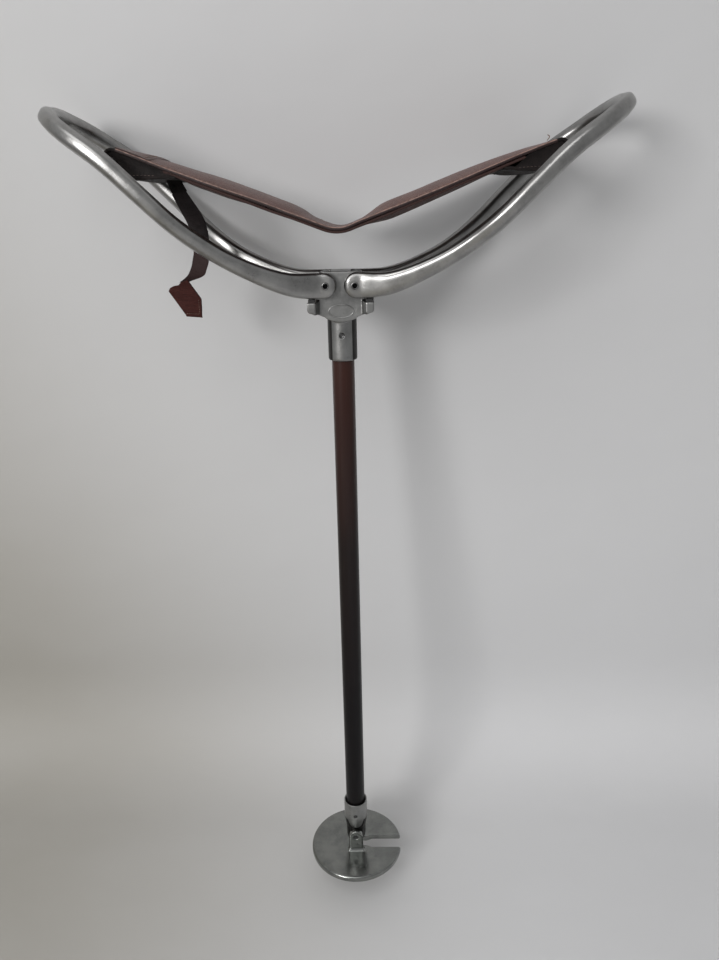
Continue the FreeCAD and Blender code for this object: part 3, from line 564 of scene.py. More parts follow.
# the lining's darker edge corner is painted shade under the top leather
under_leather = leather("brown_lining_leather", (0.055, 0.026, 0.022), (0.09, 0.048, 0.042),
                        (0.024, 0.011, 0.009), 0.55, cut=41.0, edge=(0.042, 0.021, 0.018),
                        corner_wear_and_shading=(0.03, 0.013, 0.011))
# near-black leather for the rod wraps, their cheeks and the strap's plies: partly the leather's own
# dark colour and partly painted shade
dark_leather = leather("black_brown_shaded_leather", (0.0075, 0.0058, 0.0055), (0.016, 0.011, 0.010),
                       (0.004, 0.0033, 0.0033), 0.62)
strap_leather = leather("red_brown_strap", (0.050, 0.0100, 0.0070), (0.066, 0.017, 0.013),
                        (0.018, 0.0045, 0.0036), 0.55)
# the strap's leather: near black above a red-brown foot; the near-black part is partly its own dark
# colour and partly painted shade under the seat
shaded_black_strap = leather("shaded_black_strap", (0.0105, 0.0065, 0.0072), (0.018, 0.011, 0.0115),
                      (0.005, 0.0035, 0.0038), 0.5, foot=(0.030, 0.0150, 0.0140))
thread = thread_material("tan_thread", (0.24, 0.15, 0.115))
dark_thread = thread_material("dark_thread", (0.10, 0.07, 0.06))


# Shaft, ferrule, plate and spike

def round_foot(points):
    """Rounds the ferrule's front and back over its tang to a U that narrows downwards, no nearer
    than the tang's own faces."""
    u_start, narrowing, tang_face = 84.0, 0.466, 7.6
    deep = ferrule_reach ** 2 - points[:, 0] ** 2 - (narrowing * (u_start - points[:, 2])) ** 2
    far = np.sqrt(np.clip(deep, tang_face ** 2, None))
    low = points[:, 2] < u_start
    points[low, 1] = np.clip(points[:, 1], -far, far)[low]
    return points


def flat_front(points):
    """Presses the CAD's own oval ring back into the head's front, where a finer one replaces it."""
    rim = ((points[:, 1] < -13.02) & (np.abs(points[:, 0]) < 12)
           & (np.abs(points[:, 2] - oval_z) < 7))
    points[rim, 1] = -13.0
    return points


def head_wings():
    """The head's two lugs with their stop bars, their roots and the shoulders under them, as
    outlines of (x, rise) points carried from front to back."""
    lug = [(20.2, -14.0), (26.2, -14.0), (26.2, -17.6), (24.8, -20.8), (20.8, -22.6)]
    root = [(16.9, -11.8), (20.5, -11.8), (20.8, -22.6), (17.2, -23.0)]
    shoulder = [(11.0, -16.0), (11.0, -25.7), (15.0, -24.7), (20.3, -22.4), (20.3, -16.0)]
    return [hull([(side * x, y, pivot_z + z) for outline, deep in shapes for x, z in outline
                  for y in (-deep, deep)])
            for side in (-1, 1) for shapes in (((lug, 21.4), (root, 13.2)), ((shoulder, 13.05),))]


def oval_ring():
    """The bare oval ring on the head's front: a thin round wire, half sunk."""
    wire, half_width, half_height, front = 0.55, 9.9, 5.2, -12.8
    turn = np.linspace(0, 2 * np.pi, 120, endpoint=False)[:, None]
    round_turn = np.linspace(0, 2 * np.pi, 12, endpoint=False)[None, :]
    reach = wire * np.cos(round_turn)
    ring = np.stack([(half_width + reach) * np.cos(turn), front - wire * np.sin(round_turn) + 0 * turn,
                     oval_z + (half_height + reach) * np.sin(turn)], -1)
    return mesh_of(np.concatenate([ring, ring[:1]]))


def make_stick():
    """The shaft and the spike, and softened copies of the castings, the plate and the stop pads."""
    shaft = rounded([(0, shaft_foot), (shaft_radius, shaft_foot), (shaft_radius, shaft_top),
                     (0, shaft_top)], 0.4)
    piece("shaft_tube", turned(shaft, (0, 0, 0), "z", 96), "stick", brown_enamel,
          ["shaft"])
    piece("ferrule_casting", softened("ferrule", 0.36, 3, (), round_foot), "stick", foot_metal,
          ["ferrule"])
    head = softened("head_casting", 0.45, 9, head_wings(), flat_front)
    piece("head_casting_worn", joined([head, oval_ring()]), "stick", head_metal,
          ["head_casting"])
    piece("ground_plate_worn", softened("ground_plate", 0.42, 5), "plate", plate_metal,
          ["ground_plate"])
    piece("stop_pads", softened("stop_buffers", 0.2, 6), "stick", rubber,
          ["stop_buffers"])
    spike = [(0, 0), (1.0, 0.1), (4.5, 14), (4.5, 34), (5.0, 34.2), (5.0, 66.2), (0, 66.2)]
    piece("spike", turned(rounded(spike, 0.8), (0, 0, 0), "z"), "stick", spike_metal,
          ["ground_spike"])


# Handle loops

def rail_angles(count):
    """Angles round the rail's oval, closer together near its top and bottom ridges."""
    dense = np.linspace(-np.pi, np.pi, 4001)
    x = fuller(np.cos(dense), 2 / 2.6) * 5.5
    z = fuller(np.sin(dense), 2 / 2.6) * 7.0
    step = np.hypot(np.diff(x), np.diff(z)) * (1 + 3.0 * np.exp(-(x[1:] / 1.6) ** 2))
    place = np.concatenate([[0], np.cumsum(step)])
    return np.interp(np.linspace(0, place[-1], count, endpoint=False), place, dense)


def loop_line():
    """The loop's middle line from one pivot end round the bow to the other, as dense points
    (reach, y, rise). The rails follow their tables, eased by a moving average that fades out
    before the bow. The bow is half of a full oval."""
    reach = np.linspace(-8.55, bow_start, 900)
    window = np.hanning(75) / np.hanning(75).sum()
    fade = smooth(reach, 120, 140)
    rail = [reach]
    for table in (loop_spread, loop_rise):
        exact = through(table, reach)
        eased = np.convolve(np.pad(exact, 37, "edge"), window, "valid")
        rail.append(eased * (1 - fade) + exact * fade)
    turn = np.linspace(0, np.pi / 2, 500)[1:]
    bow_x = bow_start + (bow_reach - bow_start) * np.sin(turn) ** (2 / bow_fullness)
    bow_y = loop_spread[-1][1] * np.cos(turn) ** (2 / bow_fullness)
    bow = np.stack([bow_x, bow_y, through(loop_rise, bow_x)], 1)
    half = np.concatenate([np.stack(rail, 1), bow])
    return np.concatenate([half, half[-2::-1] * (1, -1, 1)])


def rail_section(r, angle):
    """The rail's outline at each reach r as (across, up) grids. Its half width and half height
    come from the rail tables and shrink to nothing over the rounded pivot ends, and its fullness
    falls a little from the pivot to the grip. Two shallow lines run along its sides, and a ridge,
    where the casting's two halves met, along its top and bottom."""
    s = np.clip((1.5 - r) / 10.1, 0, 1)
    half_height = through(rail_height, r) / 2 * np.sqrt(1 - s ** 2)
    half_width = through(rail_width, r) / 2 * np.sqrt(1 - s ** 6)
    power = 2 / (3.1 - 0.3 * smooth(r, 10, 120))[:, None]
    x = fuller(np.cos(angle), power) * half_width[:, None]
    z = fuller(np.sin(angle), power) * half_height[:, None]
    high = z / half_height[:, None].clip(1)
    upper = 0.22 * smooth(r, 16, 30) * (1 - smooth(r, 92, 112))
    lower = 0.18 * smooth(r, 60, 80) * (1 - smooth(r, 140, 160))
    groove = (upper[:, None] * np.exp(-((high - 0.70) / 0.07) ** 2)
              + lower[:, None] * np.exp(-((high + 0.66) / 0.08) ** 2))
    x = x - np.sign(x) * groove
    ridge = (0.3 * smooth(r, 4, 26) + 0.75 * smooth(r, 40, 130))[:, None]
    z = (z * (1 - 0.7 * ridge / half_height[:, None].clip(3))
         + np.sign(np.sin(angle)) * ridge * np.exp(-np.abs(x) / 2.0))
    return x, z


def loop_mesh(side):
    """A handle loop: the rail's section carried along the loop's middle line, with a slight
    wobble, closed at both ends and bored for its pivot pin."""
    whole = loop_line()
    along = lengths(whole)
    total = along[-1]
    ends = np.array([0.0, 0.02, 0.08, 0.2, 0.4, 0.7, 1.1, 1.6, 2.2, 2.9, 3.7, 4.6, 5.6, 6.7, 7.9])
    place = np.concatenate([ends, np.linspace(9, total - 9, 400), total - ends[::-1]])
    path = np.stack([np.interp(place, along, whole[:, k]) for k in range(3)], 1)
    kernel = np.array([1, 2, 3, 2, 1]) / 9
    padded = np.concatenate([path[:1]] * 2 + [path] + [path[-1:]] * 2)
    eased = np.stack([np.convolve(padded[:, k], kernel, "valid") for k in range(3)], 1)
    tangent = unit(np.gradient(eased, axis=0))
    r = path[:, 0]
    slope = np.arctan2(through(loop_rise, r + 1) - through(loop_rise, r - 1), 2.0)
    up = np.stack([-np.sin(slope), 0 * slope, np.cos(slope)], 1)
    up = unit(up - tangent * np.sum(up * tangent, 1, keepdims=True))
    across = np.cross(tangent, up)
    angle = rail_angles(112)[None, :]
    x, z = rail_section(r, angle)
    seed = 3 if side > 0 else 5
    wobble = waves(r[:, None] + 0 * angle, path[:, 1:2] + x * 2, 38, seed) * 0.10
    x, z = x * (1 + wobble / 6), z * (1 + wobble / 6)
    points = path[:, None] + across[:, None] * x[..., None] + up[:, None] * z[..., None]
    points[0], points[-1] = whole[0], whole[-1]
    centre = (side * pivot_offset, 0, pivot_z)
    mesh = mesh_of(points * (side, 1, 1) + centre, merge=2e-6)
    return bored(mesh, centre, pivot_bore, rail_middle_y + 9)


def bored(mesh, centre, radius, reach):
    """The mesh with a round hole cut through it along Y."""
    profile = [(0, -reach), (radius, -reach), (radius, reach), (0, reach)]
    drill = put("drill", turned(profile, centre, "y", 72))
    made = modified(mesh, "BOOLEAN", operation="DIFFERENCE", solver="EXACT", object=drill)
    bpy.data.objects.remove(drill)
    return closed(made, 32)


def pin(name, end, corner, x, z, body, material, node):
    """A round piece along Y through (x, z), the same at both ends, from the (radius, depth) pairs
    of one end and the rounding of its corners."""
    profile = [(r, -y) for r, y in end] + [(r, y) for r, y in end[::-1]]
    mesh = turned(rounded(profile, corner), (x, 0, z), "y")
    piece(name, mesh, body, material, [node])


def make_handles():
    """The two handle loops and the rods across them that carry the sling's ends."""
    for side, word in sides:
        piece(word + "_loop", loop_mesh(side), word + "_handle", rail_metal,
              [word + "_handle_loop"])
        inner = float(through(loop_spread, rod_reach)) - float(through(rail_width, rod_reach)) / 2
        end = [(0, inner + 2), (rod_radius, inner + 2)]
        pin(word + "_rod", end, 0.4, side * (pivot_offset + rod_reach), pivot_z + rod_rise,
            word + "_handle", pin_metal, word + "_cross_rod")


def make_pins():
    """Pivot pins with a hollow, lipped end each side, collar and ferrule rivets with a dished,
    worn head, and the plate's hinge pin."""
    hollow = [(0, 20.3), (1.5, 20.2), (1.9, 20.5), (1.95, 22.4), (2.3, 22.75), (2.8, 22.6),
              (3.0, 22.2)]
    for side, word in sides:
        pin(word + "_pin", hollow, 0.15, side * pivot_offset, pivot_z, "stick", hollow_pin_metal,
            word + "_pivot_pin")
    for node, height, reach in (("collar_rivet", 583.9, 12.15),
                                ("ferrule_rivet", 84.1, ferrule_reach)):
        dished = [(0, reach - 0.15), (0.7, reach - 0.3), (1.3, reach - 0.1), (1.8, reach + 0.1),
                  (2.1, reach - 0.3)]
        pin(node + "_worn", dished, 0.2, 0, height, "stick", dark_metal, node)
    pin("hinge_pin", [(0, 11.6), (1.5, 11.5), (2.2, 11.9), (2.5, 11.6)], 0.2, 0, plate_top + 17,
        "plate", dark_metal, "plate_hinge_pin")


# Sling

def hide_loop(half_width, thickness, radius, count):
    """The outline of a hide's cut section as (across, depth) pairs: flat faces with the edges
    rounded by radius. It runs along the face and back along the back."""
    face, deep = half_width - radius, thickness / 2
    spread = face * np.sin(np.linspace(-np.pi / 2, np.pi / 2, count))
    turn = np.linspace(0, np.pi, 9)[1:-1]
    edge = np.stack([face + radius * np.sin(turn), deep * fuller(np.cos(turn), 0.6)], 1)
    top = np.stack([spread, np.full(count, deep)], 1)
    bottom = np.stack([spread[::-1], np.full(count, -deep)], 1)
    return np.concatenate([top, edge, bottom, (edge * (-1, 1))[::-1]])


def round_ends(count, deep, steps, start_round=True):
    """The rows of a strip of count stations whose ends are rounded by deep: for each row its
    station, how far it lies past it, and its thickness from 0 to 1. A start that isn't rounded is
    closed flat."""
    turn = np.linspace(0, np.pi / 2, steps + 1)[1:]
    past, size = [-np.sin(turn[::-1]) * deep, np.cos(turn[::-1])] if start_round else [[0.0], [0.0]]
    row = np.concatenate([[0] * len(past), np.arange(count), [count - 1] * steps]).astype(int)
    past = np.concatenate([past, np.zeros(count), np.sin(turn) * deep])
    return row, past, np.concatenate([size, np.ones(count), np.cos(turn)]).clip(0)


def hide(path, side, half_width, thickness, radius, relief, count=41, start_round=True):
    """Leather carried along a path of (x, z) points: its section lies across Y, moved along the
    path's normal by the relief, a function of (place along, place across). It also carries the
    place on the flat hide, where the left half's leather comes from another part of it."""
    step, along = unit(np.gradient(path, axis=0)), lengths(path)
    normal = np.stack([-step[:, 1], step[:, 0]], 1)
    row, past, size = round_ends(len(path), thickness / 2, 5, start_round)
    base, normal, place = path[row] + step[row] * past[:, None], normal[row], along[row] + past
    shape = hide_loop(half_width, thickness, radius, count)
    across = shape[None, :, 0] * np.ones((len(row), 1))
    depth = shape[None, :, 1] * size[:, None]
    lift = depth + relief(np.clip(place, 0, along[-1])[:, None], across)
    points = np.stack([side * (base[:, None, 0] + normal[:, None, 0] * lift), across,
                       base[:, None, 1] + normal[:, None, 1] * lift], -1)
    flat = np.stack([place[:, None] + 0 * across + (0 if side > 0 else 400), across, depth], -1)
    return mesh_of(points, flat, 55, 1e-6)


def panel_point(u, w):
    """A point of the right panel's side view in the frame: u along its slope from the fold and w
    square to it."""
    c, s = math.cos(seat_slope), math.sin(seat_slope)
    return np.stack([seat_hinge_x + u * c - w * s, seat_hinge_z + u * s + w * c], -1)


def on_panel(side, u, y, w):
    """Points of the right or left panel in the frame, with y across it."""
    xz = panel_point(u, w)
    return np.stack([side * xz[..., 0], y + 0 * xz[..., 0], xz[..., 1]], -1)


fold_reach = fold_radius * math.sin(seat_slope) - seat_hinge_x
fold_end = fold_reach / math.cos(seat_slope)


def seat_line(end, depth, spacing=1.6):
    """The side view of a sling layer at a depth under its top: an arc over the middle, then the
    panel's slope up to the place end."""
    centre_z = (seat_hinge_z + fold_reach * math.tan(seat_slope)
                + fold_radius * math.cos(seat_slope))
    turn = np.linspace(0, seat_slope, 12)[:-1]
    radius = fold_radius + depth
    arc = np.stack([radius * np.sin(turn), centre_z - radius * np.cos(turn)], 1)
    return np.concatenate([arc, panel_point(np.append(np.arange(fold_end, end, spacing), end),
                                            -depth)])


def seat_place(along):
    """The panel's place u for a length along the sling from its middle."""
    return along - fold_radius * seat_slope + fold_end


def pad_shape(across, reach=pad_reach):
    """1 in the middle and 0 at the pad's edge, full and then steep."""
    return np.clip(1 - np.abs(across / reach) ** pad_fullness, 0, 1)


def make_sling():
    """The two halves of the seat, each a padded top leather over a lining that bends at the fold
    in the middle, and their ends."""
    for side, word in sides:
        seed, seat_crown, seat_belly = ((11, right_crown, right_belly) if side > 0
                                        else (29, left_crown, left_belly))

        def crown(along, across):
            rise = through(seat_crown, seat_place(along)) * pad_shape(across)
            ripple = (waves(along + side * 50, across, 46, seed) * 0.22
                      + waves(along, across, 15, seed + 1) * 0.06)
            cupped = 0.35 * np.sin(along / 19 + side) * (np.abs(across) / seat_half_depth) ** 3
            groove = -0.35 * np.exp(-((np.abs(across) - 38.6) / 0.5) ** 2)
            return (rise + ripple * smooth(np.abs(along), 0, 12) + cupped * smooth(along, 0, 20)
                    + groove)

        def belly(along, across):
            u = seat_place(along)
            drop = through(seat_belly, u) * smooth(u, 4, 38) * pad_shape(across, 38.5)
            ripple = waves(along, across, 40, seed + 2) * 0.2
            return ripple * smooth(np.abs(along), 0, 12) - drop

        def layer(name, line, half_width, thickness, relief, material, slot, replaces, fill):
            mesh = hide(line, side, half_width, thickness, 0.6, relief, 61, False)
            made = piece(word + name, mesh, None, material, replaces)
            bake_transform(made)

        layer("_seat_leather", seat_line(rod_along - 2.0, leather_thickness / 2), seat_half_depth,
              leather_thickness, crown, top_leather, "brown_leather",
              [word + "_seat_top"] + (["seat_fold_strip"] if side > 0 else []), 0.6)
        low = leather_thickness + lining_thickness / 2 + 0.15
        layer("_seat_lining_leather", seat_line(rod_along - lining_short[side], low),
              seat_half_depth - 0.7, lining_thickness, belly, under_leather, "dark_leather",
              [word + "_seat_lining", word + "_seat_padding"], 0.5)
        make_wrap(side, word)
        make_cheeks(side, word)
    make_flap()


wrap_back = {1: [(130.0, -9.0), (125.5, -6.4), (122.0, -5.5)],
             -1: [(128.5, -8.6), (121.0, -5.9), (116.5, -5.0)]}
cheek_start = {1: (125.0, -8.2), -1: (118.0, -5.2)}
cheek_low = [(129.0, -8.9), (136.0, -11.2), (144.0, -13.9), (150.0, -16.0), (158.0, -17.8),
             (163.0, -17.2), (166.6, -13.4)]
cheek_top = {1: [(125.0, -7.6), (131.0, -6.0), (137.0, -3.6), (143.0, -1.8)],
             -1: [(118.0, -4.2), (126.0, -2.6), (140.0, -1.6)]}
cheek_top_end = [(158.0, -1.3), (164.0, -2.6), (166.6, -5.2)]
flap_start = 138.0


def make_wrap(side, word):
    """The leather's end, as one strip in near-black leather, partly its own dark colour and partly
    painted shade: over the rod, down its outside and back under it to the seam."""
    t, clear = leather_thickness, 3.8
    inner = clear + t / 2
    high = (rod_along + rod_radius + 0.35 - clear, -t - clear)
    low = (rod_along + 0.5, rod_height - 7.0 + clear)
    bends = []
    for (x, z), start, end in ((high, np.pi / 2, 0), (low, 0, -np.pi / 2)):
        turn = np.linspace(start, end, 12)
        bends.append(np.stack([x + inner * np.cos(turn), z + inner * np.sin(turn)], 1))
    start = [(146.0, -t / 2 - 0.1), (152.0, -t / 2 - 0.05)]
    back = [(156.0, -17.8), (150.0, -16.2), (144.0, -14.1), (136.0, -11.4), *wrap_back[side]]
    line = evenly(np.concatenate([start, *bends, back]), 64)

    def folds(along, across):
        loose = smooth(along, 40, 60) * (1 - smooth(along, 76, 84))
        return (waves(along, across, 26, 41) * 0.35 + 0.5 * np.cos(across / 6.5)) * loose * 0.6

    mesh = hide(panel_point(line[:, 0], line[:, 1]), side, seat_half_depth - 0.2, t - 0.1, 0.7,
                folds)
    piece(word + "_rod_wrap", mesh, word + "_seat", dark_leather)


def make_cheeks(side, word):
    """The leather that closes the wrap on both sides, between an upper and a lower outline, and sags
    inwards a little. It is the same near-black leather, partly painted shade."""
    begin = cheek_start[side][0]
    u = np.linspace(begin, cheek_low[-1][0], 44)
    top = through(cheek_top[side] + cheek_top_end, u)
    low = through([cheek_start[side]] + cheek_low, u)
    section = hide_loop(0.5, 1.4, 0.04, 15)
    tall, depth = section[None, :, 0] + 0.5, section[None, :, 1]
    along, w = u[:, None] + 0 * tall, low[:, None] + (top - low)[:, None] * tall
    size = np.ones((len(u), 1))
    size[[0, -1]] = 0
    cheeks = []
    for y in (-cheek_middle, cheek_middle):
        sag = -np.sign(y) * 1.1 * np.sin(np.pi * tall) * smooth(along, begin, 140)
        sag = sag + 0.25 * waves(along, w, 13, 61 + int(y > 0))
        points = on_panel(side, along, y + sag + depth * size, w)
        cheeks.append(mesh_of(points, np.stack([along, w, depth + 0 * w], -1), 55, 1e-6))
    piece(word + "_wrap_cheeks", joined(cheeks), word + "_seat", dark_leather)


def make_flap():
    """The flap sewn on top of the left half's end."""
    def lie(along, across):
        place = flap_start + along
        skew = smooth(place + across * 0.06, flap_start - 2, flap_start + 5)
        return (through(left_crown, place) * pad_shape(across) + 0.45 * skew
                + 0.15 * np.sin(across / 9))

    line = panel_point(np.linspace(flap_start, rod_along - 1.0, 24), 0.25 + np.zeros(24))
    flap = hide(line, -1, seat_half_depth - 0.4, 1.0, 0.4, lie)
    piece("left_end_flap", flap, "left_seat", flap_leather)


def stitches(lines, length=2.1, radius=0.27):
    """One mesh of short stitches: a small rounded bar between each two neighbouring points of
    some lines."""
    places = np.concatenate([(line[1:] + line[:-1]) / 2 for line in lines])
    ways = unit(np.concatenate([np.diff(line, axis=0) for line in lines]))
    aside = unit(np.cross(ways, np.where(np.abs(ways[:, 2:]) < 0.9, [[0, 0, 1]], [[0, 1, 0]])))
    up = np.cross(aside, ways)
    row_along = np.array([-0.5, -0.5, -0.32, 0.32, 0.5, 0.5]) * length
    row_size = np.array([0.0, 0.55, 1.0, 1.0, 0.55, 0.0])[:, None] * radius
    turn = np.linspace(0, 2 * np.pi, 6, endpoint=False)
    points = (places[:, None, None] + ways[:, None, None] * row_along[None, :, None, None]
              + aside[:, None, None] * (row_size * np.cos(turn))[None, :, :, None]
              + up[:, None, None] * (row_size * np.sin(turn))[None, :, :, None])
    return closed(tubes(points), 80, 1e-6)


def seam(side, u, y, height, pitch=3.4):
    """Points a stitch apart along a seam of the right or left panel, through places u on its slope
    and y across it, at a height over it."""
    line = np.stack(np.broadcast_arrays(u, y, height), 1)
    line = evenly(line, int(lengths(line)[-1] / pitch) + 1)
    return on_panel(side, *line.T)


def make_seams():
    """Seams along both edges of each panel, across the end flap and round the cheeks, and one
    loose thread at the right end."""
    for side, word in sides:
        u, y = np.linspace(9, 160, 120), np.linspace(-38, 38, 80)
        lift = 0.12 + (0.6 * smooth(u, 139, 144) if side < 0 else 0 * u)
        lines = [seam(side, u, edge, lift) for edge in (-top_seam, top_seam)]
        for at in (140.5, 143.2) if side < 0 else ():
            lines.append(seam(side, at, y, through(left_crown, at) * pad_shape(y) + 1.15))
        piece(word + "_top_stitches", stitches(lines), word + "_seat", thread)
        low = evenly(np.array([(130.0, -8.2), (140.0, -11.4), (151.0, -15.2)]), 9)
        lines = [on_panel(side, low[:, 0], edge, low[:, 1]) for edge in (-cheek_seam, cheek_seam)]
        piece(word + "_cheek_stitches", stitches(lines, 1.7, 0.22), word + "_seat", dark_thread)
    t = np.linspace(0, 1, 18)
    line = on_panel(1, 154.5 + 3.2 * t + 1.2 * np.sin(5 * t), -39.0 - 1.4 * np.sin(3 * t),
                    1.2 + 5.2 * t - 1.6 * t ** 3)
    piece("loose_thread", strand(line, 0.3), "right_seat", thread)


def strand(line, radius, columns=8):
    """A round thread along a line, closed at both ends."""
    way = unit(np.gradient(line, axis=0))
    aside = unit(np.cross(way, [[0.0, 1.0, 0.0]]))
    up = np.cross(aside, way)
    size = np.full((len(line), 1, 1), radius)
    size[[0, -1]] = 0
    turn = np.linspace(0, 2 * np.pi, columns, endpoint=False)[None, :, None]
    return mesh_of(line[:, None] + size * (aside[:, None] * np.cos(turn)
                                           + up[:, None] * np.sin(turn)))


# Strap

strap_left = [(-130.9, 78.4), (-127.9, 67.7), (-122.5, 55.7), (-118.7, 47.3), (-116.4, 36.5),
              (-116.2, 27.0), (-117.6, 20.9), (-119.2, 15.2), (-122.5, 9.0), (-128.4, 4.4)]
strap_right = [(-121.9, 78.9), (-114.0, 66.4), (-107.4, 55.8), (-104.5, 48.9), (-103.0, 37.3),
               (-103.6, 27.0), (-105.0, 18.4), (-106.7, 13.9), (-109.5, 8.7), (-121.6, 4.2)]
tab_left = [(-128.6, 3.6), (-130.2, 1.9), (-132.2, 1.5), (-134.6, 1.1), (-137.4, -0.2),
            (-138.9, -2.8), (-132.9, -12.2), (-126.7, -21.9)]
tab_right = [(-122.6, 4.8), (-121.6, 3.6), (-119.4, 0.2), (-117.0, -3.3), (-114.6, -6.9),
             (-113.0, -9.4), (-113.1, -16.0), (-113.6, -23.0)]
tab_seam = [(-115.0, -9.5), (-115.0, -21.2), (-126.0, -20.6)]
ply_left = [(-133.4, 84.6), (-130.0, 75.4), (-128.0, 70.6)]
ply_right = [(-122.6, 86.0), (-120.0, 77.6), (-117.4, 72.6)]


def through_points(points, count=80):
    """A dense smooth line through outline points, each coordinate a smooth function of the length
    of the runs between them."""
    points = np.array(points, float)
    place = lengths(points)
    at = np.linspace(0, place[-1], count)
    return np.stack([through(np.stack([place, points[:, k]], 1), at) for k in range(2)], 1)


def flat_leather(left, right, thickness, middle_y, twist, bow, count=60):
    """A leather strap between a left and a right edge line of (x, rise) points: straight across
    from one to the other, with rounded edges. Its depth follows a bow along it and a twist across
    it."""
    left = evenly(np.array(left, float), count)
    right = evenly(np.array(right, float), count)
    lead = unit((np.gradient(left, axis=0) + np.gradient(right, axis=0)) / 2)
    width = np.linalg.norm(right - left, axis=1)
    row, past, size = round_ends(count, thickness / 2, 4)
    s = np.linspace(0, 1, count)[row][:, None]
    section = hide_loop(0.5, thickness, 0.03, 17)
    v, depth = section[None, :, 0] + 0.5, section[None, :, 1]
    flat = left[row][:, None] * (1 - v[..., None]) + right[row][:, None] * v[..., None]
    flat = flat + (lead[row] * past[:, None])[:, None]
    y = middle_y + depth * size[:, None] + bow(s) + twist(s) * (v - 0.5)
    points = np.stack([flat[..., 0], y, flat[..., 1] + pivot_z], -1)
    place = np.stack([s * 100 + 0 * v, (v - 0.5) * width[row][:, None], depth + 0 * s], -1)
    return mesh_of(points, place, 55, 1e-6)


def make_strap():
    """The closing strap, its sewn tab and the two plies that it hangs from."""
    upper = flat_leather(through_points(strap_left), through_points(strap_right), 2.0, -6.0,
                         lambda s: 5.0 * smooth(s, 0.78, 1.0) - 1.2 * np.sin(3 * s),
                         lambda s: 0.5 * np.sin(np.pi * s))
    piece("strap_ribbon", upper, "strap", shaded_black_strap, ["closing_strap"])
    tab = flat_leather(tab_left, tab_right, 2.6, -6.6, lambda s: 0.8 * np.cos(2 * s),
                       lambda s: -0.8 * s)
    piece("strap_tab", tab, "strap", strap_leather)
    line = evenly(np.array(tab_seam), 14)
    points = np.stack([line[:, 0], 0 * line[:, 0] - 8.75, line[:, 1] + pivot_z], 1)
    piece("tab_stitches", stitches([points], 1.0, 0.22), "strap", thread)
    # the plies are in the same near-black leather, partly painted shade
    plies = [flat_leather(ply_left, ply_right, 1.3, y, lambda s: 0 * s, lambda s: 0 * s, 16)
             for y in (-7.95, -4.05)]
    piece("hanger_plies", joined(plies), "left_seat", dark_leather,
          ["strap_hanger"])


# Set and light

def add_light(name, size, power, direction, colour=(1, 1, 1)):
    """A round light 2.4 m from the object's middle in a direction, aimed back at it."""
    centre = Vector((0, 0.05, 0.45))
    lamp = bpy.data.lights.new(name, "AREA")
    lamp.shape, lamp.size, lamp.energy, lamp.color = "DISK", size, power, colour
    made = put(name, lamp)
    made.location = centre + Vector(direction).normalized() * 2.4
    made.rotation_euler = (centre - made.location).to_track_quat("-Z", "Y").to_euler()


def set_camera():
    """The photograph's camera, solved from it: 641 mm above the ground plate and 622 mm in front
    of the shaft, tilted down by 20 degrees."""
    focal_pixels, picture_pixels, sensor = 745.2, 960, 36.0
    stand = Matrix.Translation((0.02436, -0.62186, 0.6812))
    pitch, yaw, roll = math.radians(20.04), math.radians(-1.184), math.radians(-1.25)
    ahead = Vector((math.sin(yaw) * math.cos(pitch), math.cos(yaw) * math.cos(pitch),
                    -math.sin(pitch)))
    right = Vector((math.cos(yaw), -math.sin(yaw), 0))
    up = right.cross(ahead)
    level_right = math.cos(roll) * right + math.sin(roll) * up
    level_up = -math.sin(roll) * right + math.cos(roll) * up
    camera = bpy.data.cameras.new("camera")
    camera.sensor_width = sensor
    camera.lens = focal_pixels / picture_pixels * sensor
    camera.clip_start, camera.clip_end = 0.01, 50
    made = put("camera", camera)
    turn = Matrix((level_right, level_up, -ahead)).transposed().to_4x4()
    made.matrix_world = stand @ turn
    bpy.context.scene.camera = made


def backdrop_material(name, colour, corner):
    """Pale cloth with soft folds, with painted shade: a little darker and warmer low on the left, and
    darker towards its top. It shows from its front only."""
    f = Finish(name, {"Roughness": 0.9, "Specular IOR Level": 0.2})
    x, z = f.axis("X"), f.axis("Z")
    # painted shade: darker and warmer low on the left
    painted_corner_shade = f.between(x + z * 0.4, -0.42, 0.2, 1.0, 0.0)
    folds = f.noise(140, 3, stretch=(1.6, 1, 1))
    tone = f.mix(painted_corner_shade, colour, corner)
    tone = f.mix(f.between(folds, 0.3, 0.7) * 0.10, tone, tuple(c * 0.86 for c in colour))
    # painted shade: darker towards the top
    tone = f.mix(f.between(z, 0.3, 0.85) * 0.28, tone, tuple(c * 0.6 for c in colour))
    f.feed("Base Color", tone)
    f.feed("Normal", f.bump(folds, 6.0, 0.5))
    back = f.node("ShaderNodeNewGeometry", result="Backfacing")
    clear = f.node("ShaderNodeBsdfTransparent")
    front = f.node("ShaderNodeMixShader", None, {0: back, 1: f.shown, 2: clear})
    f.tree.links.new(front.socket, f.out.inputs["Surface"])
    return f.material


def stage(name, points, quads, material):
    """A plain surface of the set, from points in metres."""
    mesh = bpy.data.meshes.new(name)
    mesh.from_pydata(points, [], quads)
    mesh.polygons.foreach_set("use_smooth", np.ones(len(mesh.polygons), bool))
    mesh.materials.append(material)
    put(name, mesh)


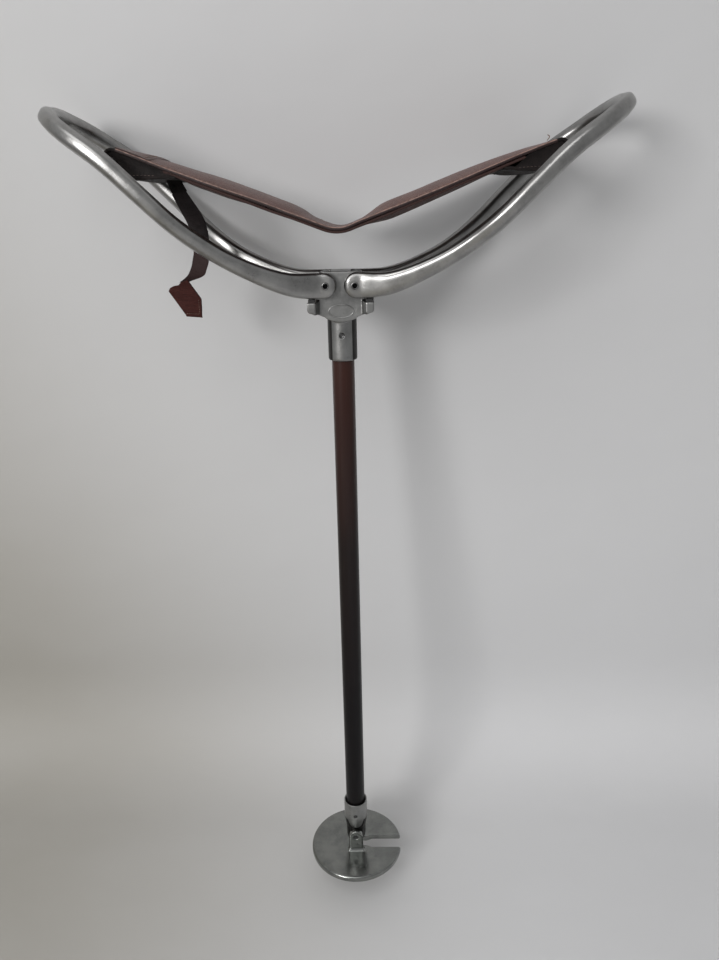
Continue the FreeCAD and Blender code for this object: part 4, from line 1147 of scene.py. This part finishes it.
def make_set():
    """A pale floor, and a pale cloth that rises behind the object and leans towards it, joined to
    the floor by a soft bend: straight lines in X carried along a bent profile. A second floor
    goes on behind the cloth, a hair lower, for views from behind."""
    foot, lean = 215.0, 0.211
    line = rounded([(-2500.0, 0.0), (foot, 0.0), (foot - 1500 * lean, 1500.0)], 150, 28)
    x = np.array([[-1600, 1600]])
    points = np.stack(np.broadcast_arrays(x, line[:, :1], line[:, 1:]), -1)
    index = np.arange(len(line) * 2).reshape(len(line), 2)
    quads = np.stack([index[:-1, 0], index[:-1, 1], index[1:, 1], index[1:, 0]], -1)
    # the second colour is the painted shade low on the left
    cloth = backdrop_material("pale_cloth", (0.685, 0.685, 0.69), (0.40, 0.385, 0.352))
    stage("backdrop", (points.reshape(-1, 3) * MM).tolist(), quads.tolist(), cloth)
    near, far, half, low = (foot - 152) * MM, 2.5, 1.6, -0.0002
    corners = [(-half, near, low), (half, near, low), (half, far, low), (-half, far, low)]
    stage("rear_floor", corners, [(0, 1, 2, 3)], cloth)


def light_scene():
    """A soft light from the left in front, a little above the object, a weak wide one from above,
    and a surround that is a little brighter above. The camera sees it as one plain grey."""
    add_light("key", 0.8, 25, (-0.60, -0.97, 0.33), (1.0, 0.99, 0.985))
    add_light("above", 1.6, 13, (-0.35, -0.8, 0.95))
    world = bpy.data.worlds.new("surround")
    bpy.context.scene.world = world
    world.use_nodes = True
    w = Nodes(world.node_tree)
    way = w.node("ShaderNodeTexCoord", result="Generated")
    tilt = w.node("ShaderNodeVectorMath", {"operation": "DOT_PRODUCT"},
                  {0: way, 1: (-0.02, 0.02, 0.08)}, result="Value")
    light = w.node("ShaderNodeBackground", None,
                   {"Color": (0.98, 0.99, 1.0, 1), "Strength": tilt + 0.36})
    seen = w.node("ShaderNodeBackground", None, {"Color": (0.60, 0.60, 0.60, 1)})
    ray = w.node("ShaderNodeLightPath", result="Is Camera Ray")
    mixed = w.node("ShaderNodeMixShader", None, {0: ray, 1: light, 2: seen})
    w.node("ShaderNodeOutputWorld", None, {"Surface": mixed})
    bpy.context.scene.view_settings.view_transform = "Standard"


set_camera()
make_stick()
make_handles()
make_pins()
make_sling()
make_strap()
make_seams()
for name, material in (("pivot_washers", pin_metal), ("strap_rivet", black_metal)):
    nodes[name].data.materials.clear()
    nodes[name].data.materials.append(material)
make_set()
light_scene()
